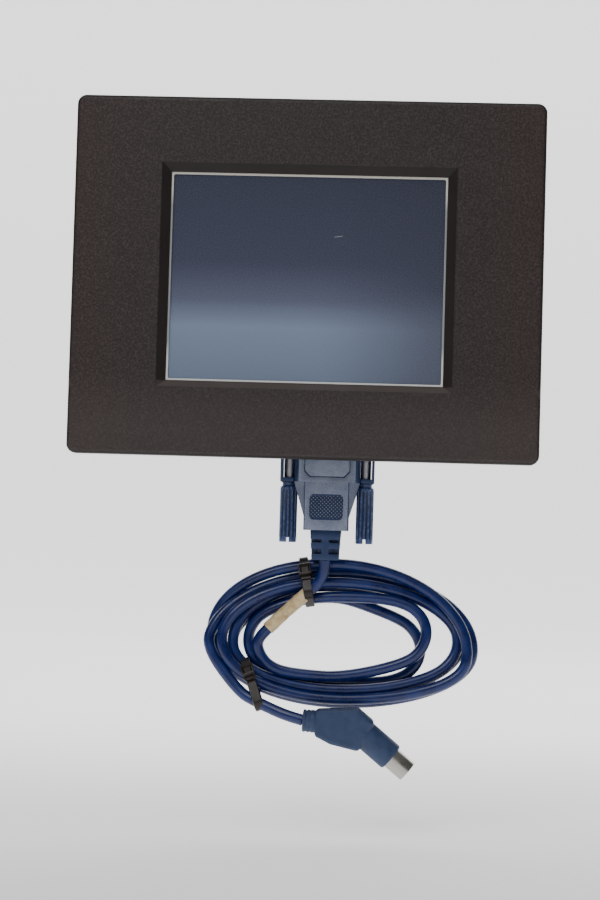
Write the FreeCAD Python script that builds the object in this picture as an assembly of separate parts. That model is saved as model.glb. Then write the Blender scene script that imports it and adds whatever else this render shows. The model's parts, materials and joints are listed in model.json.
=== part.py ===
import FreeCAD, Part
import math
import os

# A 6-inch-class operator touch panel for a cabinet door, with its moulded programming cable.
# Millimetres. +X is right as the operator sees it, +Y goes into the cabinet and +Z is up.
# The origin is the centre of the door cut-out, on the door's front face, where the gasket seats.

V = FreeCAD.Vector

# Front bezel
BEZEL_W = 201.0
BEZEL_H = 154.0
BEZEL_CORNER = 4.0
BEZEL_EDGE = 2.0
BEZEL_FRONT_Y = -7.5
FLANGE_BACK_Y = -0.5
SKIN = 3.5
WINDOW_W = 118.2
WINDOW_H = 89.5
WINDOW_LIP = 0.5
BEVEL_SIDE = 4.1
BEVEL_BOTTOM = 3.2

# Box behind the door
BOX_W = 174.0
BOX_H = 122.0
BOX_CORNER = 3.0
WALL = 2.5
RIM_Y = 8.0
BOX_BACK_Y = 46.0
INNER_W = BOX_W - 2 * WALL
INNER_H = BOX_H - 2 * WALL

# Gasket in the back of the flange
GASKET_W = 193.0
GASKET_H = 146.0
GASKET_BAND = 6.0
GASKET_DEPTH = 3.0

# Touch screen and display
SEAL_SHOWS = 0.8
TOUCH_W = 128.0
TOUCH_H = 99.0
SEAL_T = 1.0
FILM_T = 0.2
TOUCH_GLASS_T = 1.8
LCD_W = 156.0
LCD_H = 105.0
LCD_FRONT_Y = -0.8
LCD_BACK_Y = 7.2
LCD_SHEET = 0.8
ACTIVE_W = 115.2
ACTIVE_H = 86.4

# Chassis and boards
PLATE_Y = 8.0
PLATE_T = 1.2
BOARD_Y = 12.6
BOARD_T = 1.6
BOARD_W = 150.0
BOARD_BOTTOM_Z = -56.0
BOARD_TOP_Z = 32.0
INVERTER_BOTTOM_Z = 34.0
INVERTER_TOP_Z = 55.0
M3_R = 1.5
M3_HEAD_R = 2.75
M3_HEAD_T = 1.8
FIT = 0.1

BOX_BOTTOM_Z = -BOX_H / 2
BOARD_BACK_Y = BOARD_Y + BOARD_T

# D-sub ports in the underside, with 4-40 jack sockets
PORT_Y = 20.5
PORT15_X = 10.6
PORT9_X = -42.0
PORT15_PITCH = 33.32
PORT9_PITCH = 24.99
PORT15_FLANGE_W = 39.14
PORT9_FLANGE_W = 30.81
SOCKET15_W = 24.7
SOCKET9_W = 16.3
SOCKET_H = 7.9
D_FLANGE_H = 12.5
D_SHEET = 0.8
D_SKIN = 0.4
D_CORNER = 2.2
D_LEAN = math.radians(10)
PIN_PITCH = 2.77
PIN_ROW = 2.84
PIN_R = 0.5
CONTACT_R = 0.6
JACK_FLATS = 4.76
JACK_H = 4.7
JACK_BORE_R = 1.42
JACK_BORE_DEPTH = 4.3
THREAD_R = 1.37

# Power terminals
POWER_X = 58.0
POWER_PITCH = 5.08
POWER_WAYS = 3
HEADER_HALF = 9.2
HEADER_WALL = 1.0
POWER_PLUG_HALF = 8.0
POWER_PLUG_DEEPER = 2.0

# Cable plug
SEAT_Z = BOX_BOTTOM_Z - JACK_H - 0.1
HOOD_TOP_Z = SEAT_Z - D_SHEET
HOOD_SHOULDER_Z = -86.0
HOOD_BOTTOM_Z = -106.9
HOOD_T = 15.0
CORE_HALF = 14.3
FACE_HALF = 12.3
NECK_HALF = 9.75
EAR_HALF = 20.5
EAR_WALL = 1.2
EAR_T = 9.0
EAR_FLOOR = 1.8
PANEL_HALF = 10.0
PANEL_BOTTOM_Z = -83.9
PANEL_CORNER = 2.4
GRIP_W = 14.6
GRIP_TOP_Z = -91.2
GRIP_BOTTOM_Z = -102.4
GRIP_CORNER = 2.0
FACE_RECESS = 0.4
GUSSET_DROP = 15.0
GUSSET_T = 1.3
RELIEF_BOTTOM_Z = -119.8
RELIEF_TOP_HALF = 6.7
RELIEF_BOTTOM_HALF = 5.9
RELIEF_T = 11.0
RELIEF_SLOTS = [(-112.2, -110.9), (-117.2, -115.0)]
RELIEF_SPINE_HALF = 1.6
RELIEF_CORE_R = 3.6
RELIEF_WEB_HALF = 0.8
CABLE_R = 2.45

# Thumbscrews
KNOB_R = 3.8
KNOB_BOTTOM_Z = -112.4
KNOB_FLUTES = 12
FLUTE_R = 0.62
COLLAR_R = 2.9
COLLAR_T = 1.4
SCREW_NECK_R = 2.3
SCREW_TIP = 4.0
WASHER_T = 0.4

# Door clamps
CLAMP_X = 94.0
CLAMP_Z = 38.0
CLAMP_HALF = 7.0
CLAMP_SHEET = 1.5
CLAMP_FRONT_Y = 14.0
CLAMP_FLANGE_Y = 36.0
CLAMP_FLANGE_T = 3.0
CLAMP_SCREW_R = 1.95
CLAMP_BORE_R = 2.0
FOOT_Y = 6.0
FOOT_T = 4.5
FOOT_R = 4.5
FOOT_FLOOR = 1.5
CLAMP_SCREW_END_Y = 46.0

# Coil of spare cable that hangs under the plug, in a plane that leans back at its top.
# Both outlines are (right, up) from its centre.
COIL_CENTRE = V(17.3, 26.5, -155.2)
COIL_LEAN = 8.0
COIL_HALF_DEPTH = 5.4
COIL_OUTSIDE = [
    (-60.9, -5.0),
    (-49.0, 18.0),
    (-19.5, 32.6),
    (17.5, 33.0),
    (49.0, 20.0),
    (60.9, 1.0),
    (46.5, -18.2),
    (16.5, -32.4),
    (-14.5, -34.8),
    (-48.0, -23.0),
]
COIL_HOLE = [
    (-38.3, -5.6),
    (-23.5, 8.5),
    (-10.0, 18.2),
    (9.7, 18.2),
    (33.4, -0.8),
    (15.0, -10.6),
    (-24.0, -16.0),
]

# Route of the cable where it is not coiled: from the strain relief into the coil ...
LEAD_POINTS = [
    (10.6, 20.5, -119.8),
    (10.6, 20.9, -124.6),
    (8.2, 21.6, -129.6),
    (3.6, 22.0, -134.0),
    (-4.5, 21.8, -141.4),
    (-12.4, 21.2, -149.1),
    (-18.3, 20.8, -155.6),
    (-21.4, 21.4, -163.0),
]
# ... and out of the coil to the boot of the round plug.
TAIL_POINTS = [
    (-25.4, 18.4, -178.0),
    (-17.4, 15.6, -181.8),
    (-9.4, 12.8, -185.0),
    (-2.6, 10.8, -187.3),
    (3.1, 10.0, -188.6),
]
LABEL_GAP = 1.0
LABEL_LENGTH = 23.0
LABEL_R = 2.8

# Cable ties: the strap's place and slant in the coil's plane, half its reach up and down,
# and its reach to the front
TIE_WIDTH = 3.6
TIE_T = 1.2
TIE_CORNER = 2.0
TIE_HEAD_HALF = 3.2
TIE_HEAD_T = 3.6
TIE_HEAD_LENGTH = 7.4
TIES = [
    {"right": -14.6, "up": 25.0, "slant": -10.0, "half_up": 9.4, "front": 9.6, "head": "top"},
    {"right": -37.0, "up": -19.6, "slant": -20.0, "half_up": 9.8, "front": 9.4, "head": "front"},
]

# Round plug
BOOT_Y = 10.0
BOOT_T = 12.0
ELBOW = [
    (8.5, -183.6),
    (27.0, -182.6),
    (34.3, -188.4),
    (27.5, -200.9),
    (15.2, -198.2),
    (8.5, -194.9),
]
SLEEVE_START = V(3.1, BOOT_Y, -188.7)
SLEEVE_LEAN = 0.05
SLEEVE_LENGTH = 6.5
SLEEVE_END_R = 4.3
RIB_R = 4.9
RIB_W = 0.9
RIBS = [0.3, 2.1, 3.9]
BARREL_R = 6.1
BARREL_START = V(28.5, BOOT_Y, -192.6)
BARREL_DROP = 39.0
BARREL_LENGTH = 17.0
DIN_SHELL_R = 4.75
DIN_SHELL_SKIN = 0.45
DIN_SHELL_LENGTH = 9.0
DIN_INSERT_R = DIN_SHELL_R - DIN_SHELL_SKIN
DIN_INSERT_DEPTH = 6.0
DIN_FACE = 1.5
DIN_PIN_REACH = 6.5
DIN_PIN_R = 0.35


def box(x0, x1, y0, y1, z0, z1):
    return Part.makeBox(x1 - x0, y1 - y0, z1 - z0, V(x0, y0, z0))


def rod_x(r, x0, x1, y, z):
    return Part.makeCylinder(r, x1 - x0, V(x0, y, z), V(1, 0, 0))


def rod_y(r, y0, y1, x, z):
    return Part.makeCylinder(r, y1 - y0, V(x, y0, z), V(0, 1, 0))


def rod_z(r, z0, z1, x, y):
    return Part.makeCylinder(r, z1 - z0, V(x, y, z0), V(0, 0, 1))


def edges_along(shape, direction):
    """The straight edges of a shape that run along a direction."""
    found = []
    for edge in shape.Edges:
        if isinstance(edge.Curve, Part.Line):
            if edge.tangentAt(edge.FirstParameter).cross(direction).Length < 1e-6:
                found.append(edge)
    return found


def rounded(shape, radius, direction):
    return shape.makeFillet(radius, edges_along(shape, direction))


def plate(width, height, y0, y1, corner=0.0):
    """An upright plate centred on the Y axis."""
    shape = box(-width / 2, width / 2, y0, y1, -height / 2, height / 2)
    if corner:
        shape = rounded(shape, corner, V(0, 1, 0))
    return shape


def ring(width, height, hole_w, hole_h, y0, y1, corner=0.0, hole_corner=0.0):
    """An upright rectangular frame centred on the Y axis."""
    hole = plate(hole_w, hole_h, y0, y1, hole_corner)
    return plate(width, height, y0, y1, corner).cut(hole)


def prism_y(points, y0, y1):
    """An outline in X and Z, extruded along Y."""
    corners = [V(x, y0, z) for x, z in points]
    face = Part.Face(Part.makePolygon(corners + corners[:1]))
    return face.extrude(V(0, y1 - y0, 0))


def prism_z(points, z0, z1):
    """An outline in X and Y, extruded along Z."""
    corners = [V(x, y, z0) for x, y in points]
    face = Part.Face(Part.makePolygon(corners + corners[:1]))
    return face.extrude(V(0, 0, z1 - z0))


def hexagon(flats, x, y, z0, z1):
    r = flats / 2 / math.cos(math.pi / 6)
    turns = [math.pi / 3 * i for i in range(6)]
    return prism_z([(x + r * math.cos(t), y + r * math.sin(t)) for t in turns], z0, z1)


def fused(shapes):
    first, *rest = shapes
    return first.multiFuse(rest).removeSplitter()


def corners_of(half_x, half_z):
    return [(sx * half_x, sz * half_z) for sx in (-1, 1) for sz in (-1, 1)]


COVER_SCREWS = corners_of(80.5, 56.0)
PLATE_SCREWS = [(x, z) for x in (-50.0, 0.0, 50.0) for z in (-55.6, 55.6)]
BOARD_SCREWS = [(x, z) for x in (-70.0, 70.0) for z in (-48.0, -10.0, 26.0)]
INVERTER_SCREWS = [(-56.0, 44.5), (56.0, 44.5)]


# ---------------------------------------------------------------- front

def gasket_ring(end_y):
    """The gasket's band, from the bottom of its groove to end_y."""
    hole_w = GASKET_W - 2 * GASKET_BAND
    hole_h = GASKET_H - 2 * GASKET_BAND
    return ring(GASKET_W, GASKET_H, hole_w, hole_h, -GASKET_DEPTH, end_y)


def bevel_outline(width, top, bottom, y):
    half = width / 2
    points = [V(-half, y, bottom), V(half, y, bottom), V(half, y, top), V(-half, y, top)]
    return Part.makePolygon(points + points[:1])


def front_bezel():
    bevel_back = BEZEL_FRONT_Y + SKIN - WINDOW_LIP
    flange = plate(BEZEL_W, BEZEL_H, BEZEL_FRONT_Y, FLANGE_BACK_Y, BEZEL_CORNER)
    front_edges = [
        e for e in flange.Edges if abs(e.BoundBox.YMax - BEZEL_FRONT_Y) < 1e-6
    ]
    flange = flange.makeFillet(BEZEL_EDGE, front_edges)
    bevel_top = WINDOW_H / 2 + BEVEL_SIDE
    bevel_low = -WINDOW_H / 2 - BEVEL_BOTTOM
    wide = bevel_outline(WINDOW_W + 2 * BEVEL_SIDE, bevel_top, bevel_low, BEZEL_FRONT_Y)
    narrow = bevel_outline(WINDOW_W, WINDOW_H / 2, -WINDOW_H / 2, bevel_back)
    bevel = Part.makeLoft([wide, narrow], True, True)
    window = plate(WINDOW_W, WINDOW_H, bevel_back, BEZEL_FRONT_Y + SKIN)
    cavity = plate(INNER_W, INNER_H, BEZEL_FRONT_Y + SKIN, FLANGE_BACK_Y)
    groove = gasket_ring(FLANGE_BACK_Y)
    wall = ring(BOX_W, BOX_H, INNER_W, INNER_H, FLANGE_BACK_Y, RIM_Y, BOX_CORNER)
    base_y = BEZEL_FRONT_Y + SKIN
    posts = [rod_y(3.0, base_y, PLATE_Y, x, z) for x, z in COVER_SCREWS]
    posts += [rod_y(2.7, base_y, PLATE_Y, x, z) for x, z in PLATE_SCREWS]
    ribs = []
    for x, z in PLATE_SCREWS:
        wall_z = math.copysign(INNER_H / 2 + 0.5, z)
        ribs.append(box(x - 1, x + 1, base_y, PLATE_Y, min(z, wall_z), max(z, wall_z)))
    holes = [
        rod_y(M3_R + FIT, 0, PLATE_Y, x, z) for x, z in COVER_SCREWS + PLATE_SCREWS
    ]
    shell = flange.cut([bevel, window, cavity, groove])
    return fused([shell, wall] + posts + ribs).cut(holes)


def panel_gasket():
    return gasket_ring(0)


SEAL_Y = BEZEL_FRONT_Y + SKIN
FILM_Y = SEAL_Y + SEAL_T
GLASS_Y = FILM_Y + FILM_T


def screen_seal():
    hole_w = WINDOW_W - 2 * SEAL_SHOWS
    hole_h = WINDOW_H - 2 * SEAL_SHOWS
    return ring(TOUCH_W, TOUCH_H, hole_w, hole_h, SEAL_Y, FILM_Y, 0, SEAL_SHOWS)


def touch_film():
    return plate(TOUCH_W, TOUCH_H, FILM_Y, GLASS_Y)


def touch_glass():
    return plate(TOUCH_W, TOUCH_H, GLASS_Y, GLASS_Y + TOUCH_GLASS_T)


TAIL_X = -30.0
TAIL_HALF = 7.0
FLEX = 0.3


def touch_tail():
    """Flat flex from the lower edge of the touch glass, round the display, to the main board."""
    y0 = GLASS_Y + 0.5
    low = -57.0
    x0 = TAIL_X - TAIL_HALF
    x1 = TAIL_X + TAIL_HALF
    down = box(x0, x1, y0, y0 + FLEX, low, -TOUCH_H / 2)
    back = box(x0, x1, y0, BOARD_Y, low - FLEX, low)
    up = box(x0, x1, BOARD_Y - FLEX, BOARD_Y, low, low + 6)
    return fused([down, back, up])


# ---------------------------------------------------------------- display

def lcd_frame():
    can = plate(LCD_W, LCD_H, LCD_FRONT_Y, LCD_BACK_Y, 1.0)
    inside = plate(
        LCD_W - 2 * LCD_SHEET, LCD_H - 2 * LCD_SHEET, LCD_FRONT_Y + LCD_SHEET, LCD_BACK_Y
    )
    window = plate(ACTIVE_W + 1.8, ACTIVE_H + 1.6, LCD_FRONT_Y, LCD_FRONT_Y + LCD_SHEET)
    return can.cut([inside, window])


LCD_GLASS_Y = LCD_FRONT_Y + LCD_SHEET + FIT
LCD_GLASS_T = 2.2
GUIDE_Y = LCD_GLASS_Y + LCD_GLASS_T + 0.2
GUIDE_T = 3.6
LAMP_R = 1.2
LAMP_Z = 46.6


def lcd_glass():
    return plate(ACTIVE_W + 9, ACTIVE_H + 10, LCD_GLASS_Y, LCD_GLASS_Y + LCD_GLASS_T)


def light_guide():
    return plate(ACTIVE_W + 2.8, 90.0, GUIDE_Y, GUIDE_Y + GUIDE_T)


def backlight_lamps():
    y = GUIDE_Y + GUIDE_T / 2
    lamps = []
    for z in (-LAMP_Z, LAMP_Z):
        tube = rod_x(LAMP_R, -62, 62, y, z)
        ends = [rod_x(LAMP_R + 0.6, x, x + 4, y, z) for x in (-64, 60)]
        lamps.append(fused([tube] + ends))
    return Part.Compound(lamps)


def lcd_tray():
    tray = plate(LCD_W - 2 * LCD_SHEET - 2 * FIT, LCD_H - 2 * LCD_SHEET - 2 * FIT, 6.3, 7.1)
    return tray.cut(box(50, 70, 6.3, 7.1, 36, 44))


# ---------------------------------------------------------------- chassis and boards

RIBBON_X0 = 50.5
RIBBON_X1 = 69.5


def display_plate():
    """Steel chassis plate behind the display, with pressed-in standoffs for the boards."""
    sheet = plate(165.0, 116.4, PLATE_Y, PLATE_Y + PLATE_T, 2.0)
    studs = [
        rod_y(2.5, PLATE_Y + PLATE_T, BOARD_Y, x, z) for x, z in BOARD_SCREWS + INVERTER_SCREWS
    ]
    notch = box(TAIL_X - 8, TAIL_X + 8, PLATE_Y, PLATE_Y + PLATE_T, -60, -55.5)
    slot = box(49, 71, PLATE_Y, PLATE_Y + PLATE_T, 8, 18)
    holes = [
        rod_y(M3_R + FIT, PLATE_Y, BOARD_Y, x, z)
        for x, z in COVER_SCREWS + PLATE_SCREWS + BOARD_SCREWS + INVERTER_SCREWS
    ]
    return fused([sheet] + studs).cut([notch, slot] + holes)


def main_board():
    board = box(
        -BOARD_W / 2, BOARD_W / 2, BOARD_Y, BOARD_BACK_Y, BOARD_BOTTOM_Z, BOARD_TOP_Z
    )
    holes = [rod_y(M3_R + FIT, BOARD_Y, BOARD_BACK_Y, x, z) for x, z in BOARD_SCREWS]
    return board.cut(holes)


def board_chips():
    """Processor, memories, drivers and regulator, each (x, z, width, height, thickness)."""
    y = BOARD_BACK_Y
    sizes = [
        (-8, 6, 28, 28, 3.4),
        (24, 14, 18, 10, 2.6),
        (24, -2, 18, 10, 2.6),
        (-34, 12, 12, 18, 2.8),
        (-34, -14, 10, 16, 2.2),
        (8, -24, 14, 7, 2.2),
        (56, -20, 10, 10, 4.4),
    ]
    return Part.Compound(
        [box(x - w / 2, x + w / 2, y, y + t, z - h / 2, z + h / 2) for x, z, w, h, t in sizes]
    )


def board_capacitors():
    """Electrolytic capacitors on the power input, each (x, z, radius, height)."""
    y = BOARD_BACK_Y
    sizes = [(44, -34, 5, 14), (56, -34, 5, 14), (44, -20, 4, 11), (40, 24, 3.2, 8)]
    return Part.Compound([rod_y(r, y, y + h, x, z) for x, z, r, h in sizes])


def coin_cell():
    return rod_y(10.0, BOARD_BACK_Y, BOARD_BACK_Y + 3.2, -56, 14)


def inverter_board():
    """Backlight inverter: its board with the transformer and two lamp sockets on it."""
    board = box(-60, 60, BOARD_Y, BOARD_BACK_Y, INVERTER_BOTTOM_Z, INVERTER_TOP_Z)
    holes = [rod_y(M3_R + FIT, BOARD_Y, BOARD_BACK_Y, x, z) for x, z in INVERTER_SCREWS]
    y = BOARD_BACK_Y
    core = box(-16, 8, y, y + 9, 38, 52)
    winding = box(-10, 2, y, y + 11, 36, 54)
    sockets = [box(x, x + 8, y, y + 5, 40, 49) for x in (-44, 34)]
    return fused([board, core, winding] + sockets).cut(holes)


def display_ribbon():
    """Flat cable from the back of the display, through the chassis plate, to the main board."""
    first = box(RIBBON_X0, RIBBON_X1, LCD_BACK_Y, LCD_BACK_Y + FLEX, 13, 30)
    across = box(RIBBON_X0, RIBBON_X1, LCD_BACK_Y, BOARD_Y, 13 - FLEX, 13)
    last = box(RIBBON_X0, RIBBON_X1, BOARD_Y - FLEX, BOARD_Y, 0, 13)
    return fused([first, across, last])


def pan_screw(x, z, head_y, length, head_r=M3_HEAD_R, head_t=M3_HEAD_T):
    """An M3 pan head screw driven towards -Y, with a cross recess; head_y is under its head."""
    shank = rod_y(M3_R, head_y - length, head_y, x, z)
    head = rod_y(head_r, head_y, head_y + head_t, x, z)
    arm = head_r * 0.62
    deep = head_y + head_t * 0.45
    top = head_y + head_t
    cross = [
        box(x - arm, x + arm, deep, top, z - 0.35, z + 0.35),
        box(x - 0.35, x + 0.35, deep, top, z - arm, z + arm),
    ]
    return fused([shank, head]).cut(cross)


def chassis_screws():
    on_plate = [pan_screw(x, z, PLATE_Y + PLATE_T, 7.0) for x, z in PLATE_SCREWS]
    on_boards = [
        pan_screw(x, z, BOARD_BACK_Y, 4.0) for x, z in BOARD_SCREWS + INVERTER_SCREWS
    ]
    return Part.Compound(on_plate + on_boards)


# ---------------------------------------------------------------- rear cover

VENT_W = 2.4
VENT_H = 20.0
VENT_STEP = 6.0
VENT_COUNT = 17
SINK_R = 3.4
SINK_DEPTH = 2.6
HOOK_Y = 20.0
HOOK_HALF = 4.0
CUT15_HALF = 14.0
CUT9_HALF = 9.8
CUT_HALF_Y = 5.3
POWER_CUT_HALF = 9.4
POWER_BACK_Y = PORT_Y + 5.1


def vents():
    """Slots in the back and in the top of the cover."""
    slots = []
    for i in range(VENT_COUNT):
        x = (i - (VENT_COUNT - 1) / 2) * VENT_STEP
        x0 = x - VENT_W / 2
        x1 = x + VENT_W / 2
        for z in (-44.0, 24.0):
            slots.append(box(x0, x1, BOX_BACK_Y - WALL, BOX_BACK_Y, z, z + VENT_H))
        slots.append(box(x0, x1, 18, 18 + VENT_H, BOX_H / 2 - WALL, BOX_H / 2))
    return slots


def rear_cover():
    shell = plate(BOX_W, BOX_H, RIM_Y, BOX_BACK_Y, BOX_CORNER)
    back_edges = [e for e in shell.Edges if abs(e.BoundBox.YMin - BOX_BACK_Y) < 1e-6]
    shell = shell.makeFillet(1.5, back_edges)
    shell = shell.cut(plate(INNER_W, INNER_H, RIM_Y, BOX_BACK_Y - WALL))
    inside_y = PLATE_Y + PLATE_T
    posts = [
        rod_y(4.0, inside_y, BOX_BACK_Y - WALL, x, z).common(
            plate(INNER_W + 1, INNER_H + 1, inside_y, BOX_BACK_Y - WALL)
        )
        for x, z in COVER_SCREWS
    ]
    sinks = [rod_y(SINK_R, BOX_BACK_Y - SINK_DEPTH, BOX_BACK_Y, x, z) for x, z in COVER_SCREWS]
    bores = [rod_y(M3_R + FIT, inside_y, BOX_BACK_Y, x, z) for x, z in COVER_SCREWS]
    bottom = BOX_BOTTOM_Z
    top = BOX_BOTTOM_Z + WALL
    y0 = PORT_Y - CUT_HALF_Y
    y1 = PORT_Y + CUT_HALF_Y
    power_x0 = POWER_X - POWER_CUT_HALF
    power_x1 = POWER_X + POWER_CUT_HALF
    cuts = [
        box(PORT15_X - CUT15_HALF, PORT15_X + CUT15_HALF, y0, y1, bottom, top),
        box(PORT9_X - CUT9_HALF, PORT9_X + CUT9_HALF, y0, y1, bottom, top),
        box(power_x0, power_x1, BOARD_BACK_Y, POWER_BACK_Y + FIT, bottom, top),
    ]
    cuts += [rod_z(1.6, bottom, top, x, PORT_Y) for x in JACKS]
    for side, level in CLAMP_NAMES.values():
        z0 = level * CLAMP_Z - HOOK_HALF - 0.5
        z1 = level * CLAMP_Z + HOOK_HALF + 0.5
        hook_slot = box(BOX_W / 2 - WALL, BOX_W / 2, HOOK_Y - 0.5, HOOK_Y + 7.5, z0, z1)
        cuts.append(mirrored(hook_slot, side))
    return fused([shell] + posts).cut(sinks + bores + cuts + vents())


def cover_screws():
    head_y = BOX_BACK_Y - SINK_DEPTH
    return Part.Compound([pan_screw(x, z, head_y, 41.0, 3.0, 2.2) for x, z in COVER_SCREWS])


def rating_plate():
    return box(-34, 34, BOX_BACK_Y, BOX_BACK_Y + 0.3, -19, 19)


# ---------------------------------------------------------------- ports

JACKS = [
    PORT15_X - PORT15_PITCH / 2,
    PORT15_X + PORT15_PITCH / 2,
    PORT9_X - PORT9_PITCH / 2,
    PORT9_X + PORT9_PITCH / 2,
]
FLANGE_TOP_Z = BOX_BOTTOM_Z + WALL + FIT
SOCKET_TIP_Z = SEAT_Z + 1.2


def d_block(width, height, corner, z0, z1, x):
    """A D-shaped block about the port's axis, with its long side towards the back."""
    lean = height * math.tan(D_LEAN)
    half = width / 2
    points = [
        (x - half, PORT_Y + height / 2),
        (x + half, PORT_Y + height / 2),
        (x + half - lean, PORT_Y - height / 2),
        (x - half + lean, PORT_Y - height / 2),
    ]
    return rounded(prism_z(points, z0, z1), corner, V(0, 0, 1))


def d_tube(width, height, corner, skin, z0, z1, x):
    outer = d_block(width, height, corner, z0, z1, x)
    inner = d_block(width - 2 * skin, height - 2 * skin, corner - skin, z0, z1, x)
    return outer.cut(inner)


def contact_places(ways, x):
    """Two staggered rows of contacts."""
    long_row = (ways + 1) // 2
    places = []
    for row, count, y in ((0, long_row, PIN_ROW / 2), (1, ways - long_row, -PIN_ROW / 2)):
        for i in range(count):
            places.append((x + (i - (count - 1) / 2) * PIN_PITCH, PORT_Y + y))
    return places


def port_shell(width, flange_w, pitch, x):
    z0 = FLANGE_TOP_Z
    half_y = D_FLANGE_H / 2
    flange = box(
        x - flange_w / 2, x + flange_w / 2, PORT_Y - half_y, PORT_Y + half_y, z0, z0 + D_SHEET
    )
    flange = rounded(flange, 1.0, V(0, 0, 1))
    opening = d_block(width - 2 * D_SKIN, SOCKET_H - 2 * D_SKIN, 1.8, z0, z0 + D_SHEET, x)
    holes = [rod_z(1.6, z0, z0 + D_SHEET, x + side * pitch / 2, PORT_Y) for side in (-1, 1)]
    tube = d_tube(width, SOCKET_H, D_CORNER, D_SKIN, SOCKET_TIP_Z, z0, x)
    return fused([flange.cut([opening] + holes), tube])


def port_insulator(width, ways, x):
    skin = D_SKIN + FIT
    nose = d_block(
        width - 2 * skin,
        SOCKET_H - 2 * skin,
        1.6,
        SOCKET_TIP_Z + 0.3,
        FLANGE_TOP_Z + D_SHEET + FIT,
        x,
    )
    z0 = FLANGE_TOP_Z + D_SHEET + FIT
    half = width / 2 - 1
    body = box(x - half, x + half, BOARD_BACK_Y + FIT, PORT_Y + 5.4, z0, z0 + 8.5)
    contacts = [
        rod_z(CONTACT_R, SOCKET_TIP_Z, SOCKET_TIP_Z + 7.0, px, py)
        for px, py in contact_places(ways, x)
    ]
    return fused([nose, body]).cut(contacts)


def port15_shell():
    return port_shell(SOCKET15_W, PORT15_FLANGE_W, PORT15_PITCH, PORT15_X)


def port15_insulator():
    return port_insulator(SOCKET15_W, 15, PORT15_X)


def port9_shell():
    return port_shell(SOCKET9_W, PORT9_FLANGE_W, PORT9_PITCH, PORT9_X)


def port9_insulator():
    return port_insulator(SOCKET9_W, 9, PORT9_X)


def jack_sockets():
    """Hexagonal 4-40 jack sockets that clamp both ports to the cover's floor."""
    sockets = []
    z0 = BOX_BOTTOM_Z - JACK_H
    for x in JACKS:
        body = hexagon(JACK_FLATS, x, PORT_Y, z0, BOX_BOTTOM_Z)
        stud = rod_z(1.42, BOX_BOTTOM_Z, FLANGE_TOP_Z + D_SHEET + 1.6, x, PORT_Y)
        bore = rod_z(JACK_BORE_R, z0, z0 + JACK_BORE_DEPTH, x, PORT_Y)
        sockets.append(fused([body, stud]).cut(bore))
    return Part.Compound(sockets)


# ---------------------------------------------------------------- power terminals

POWER_FRONT_Y = BOARD_BACK_Y + FIT
POWER_FLOOR_Z = BOX_BOTTOM_Z - 1.5
POWER_TOP_Z = -48.0
POWER_PIN_R = 0.55
POWER_PLUG_TOP_Z = -50.5
POWER_PLUG_BOTTOM_Z = -72.5
TERMINALS = [POWER_X + (i - 1) * POWER_PITCH for i in range(POWER_WAYS)]
TERMINAL_Z = -67.5
TERMINAL_R = 1.75
TERMINAL_SHANK_R = 1.25


def power_header():
    x0 = POWER_X - HEADER_HALF
    x1 = POWER_X + HEADER_HALF
    outer = box(x0, x1, POWER_FRONT_Y, POWER_BACK_Y, POWER_FLOOR_Z, POWER_TOP_Z)
    outer = rounded(outer, 0.6, V(0, 0, 1))
    y0 = POWER_FRONT_Y + HEADER_WALL
    y1 = POWER_BACK_Y - HEADER_WALL
    inside = box(x0 + HEADER_WALL, x1 - HEADER_WALL, y0, y1, POWER_FLOOR_Z, POWER_TOP_Z - 2)
    pins = [rod_z(POWER_PIN_R, -60, POWER_TOP_Z - 1.5, x, PORT_Y) for x in TERMINALS]
    return fused([outer.cut(inside)] + pins)


def power_plug():
    """Three-way screw terminal plug; its wire mouths face down and its screws face back."""
    x0 = POWER_X - POWER_PLUG_HALF
    x1 = POWER_X + POWER_PLUG_HALF
    front = POWER_FRONT_Y + HEADER_WALL + 0.2
    back = POWER_BACK_Y + POWER_PLUG_DEEPER
    inside_back = POWER_BACK_Y - HEADER_WALL - 0.2
    low = POWER_PLUG_BOTTOM_Z
    inserted = box(x0, x1, front, inside_back, low, POWER_PLUG_TOP_Z)
    outside = box(x0, x1, front, back, low, POWER_FLOOR_Z - 0.4)
    body = rounded(fused([inserted, outside]), 0.4, V(1, 0, 0))
    tools = []
    for x in TERMINALS:
        tools.append(rod_z(POWER_PIN_R + FIT, -60.5, POWER_PLUG_TOP_Z, x, PORT_Y))
        tools.append(box(x - 1.6, x + 1.6, 17.5, 20.6, low, -64))
        tools.append(rod_y(TERMINAL_R + FIT, back - 3.4, back, x, TERMINAL_Z))
        tools.append(rod_y(TERMINAL_SHANK_R + 0.05, back - 6.0, back, x, TERMINAL_Z))
    return body.cut(tools)


def terminal_screw(index):
    back = POWER_BACK_Y + POWER_PLUG_DEEPER
    x = TERMINALS[index]
    head = rod_y(TERMINAL_R, back - 3.3, back - 1.6, x, TERMINAL_Z)
    shank = rod_y(TERMINAL_SHANK_R, back - 5.9, back - 3.3, x, TERMINAL_Z)
    slot = box(x - 2, x + 2, back - 2.4, back - 1.6, TERMINAL_Z - 0.3, TERMINAL_Z + 0.3)
    return fused([head, shank]).cut(slot)


# ---------------------------------------------------------------- door clamps

CLAMP_NAMES = {
    "left_lower": (-1, -1),
    "left_upper": (-1, 1),
    "right_lower": (1, -1),
    "right_upper": (1, 1),
}


def mirrored(shape, side):
    """The shape as built for the right-hand side, or its mirror image for the left."""
    return shape if side > 0 else shape.mirror(V(0, 0, 0), V(1, 0, 0))


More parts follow.
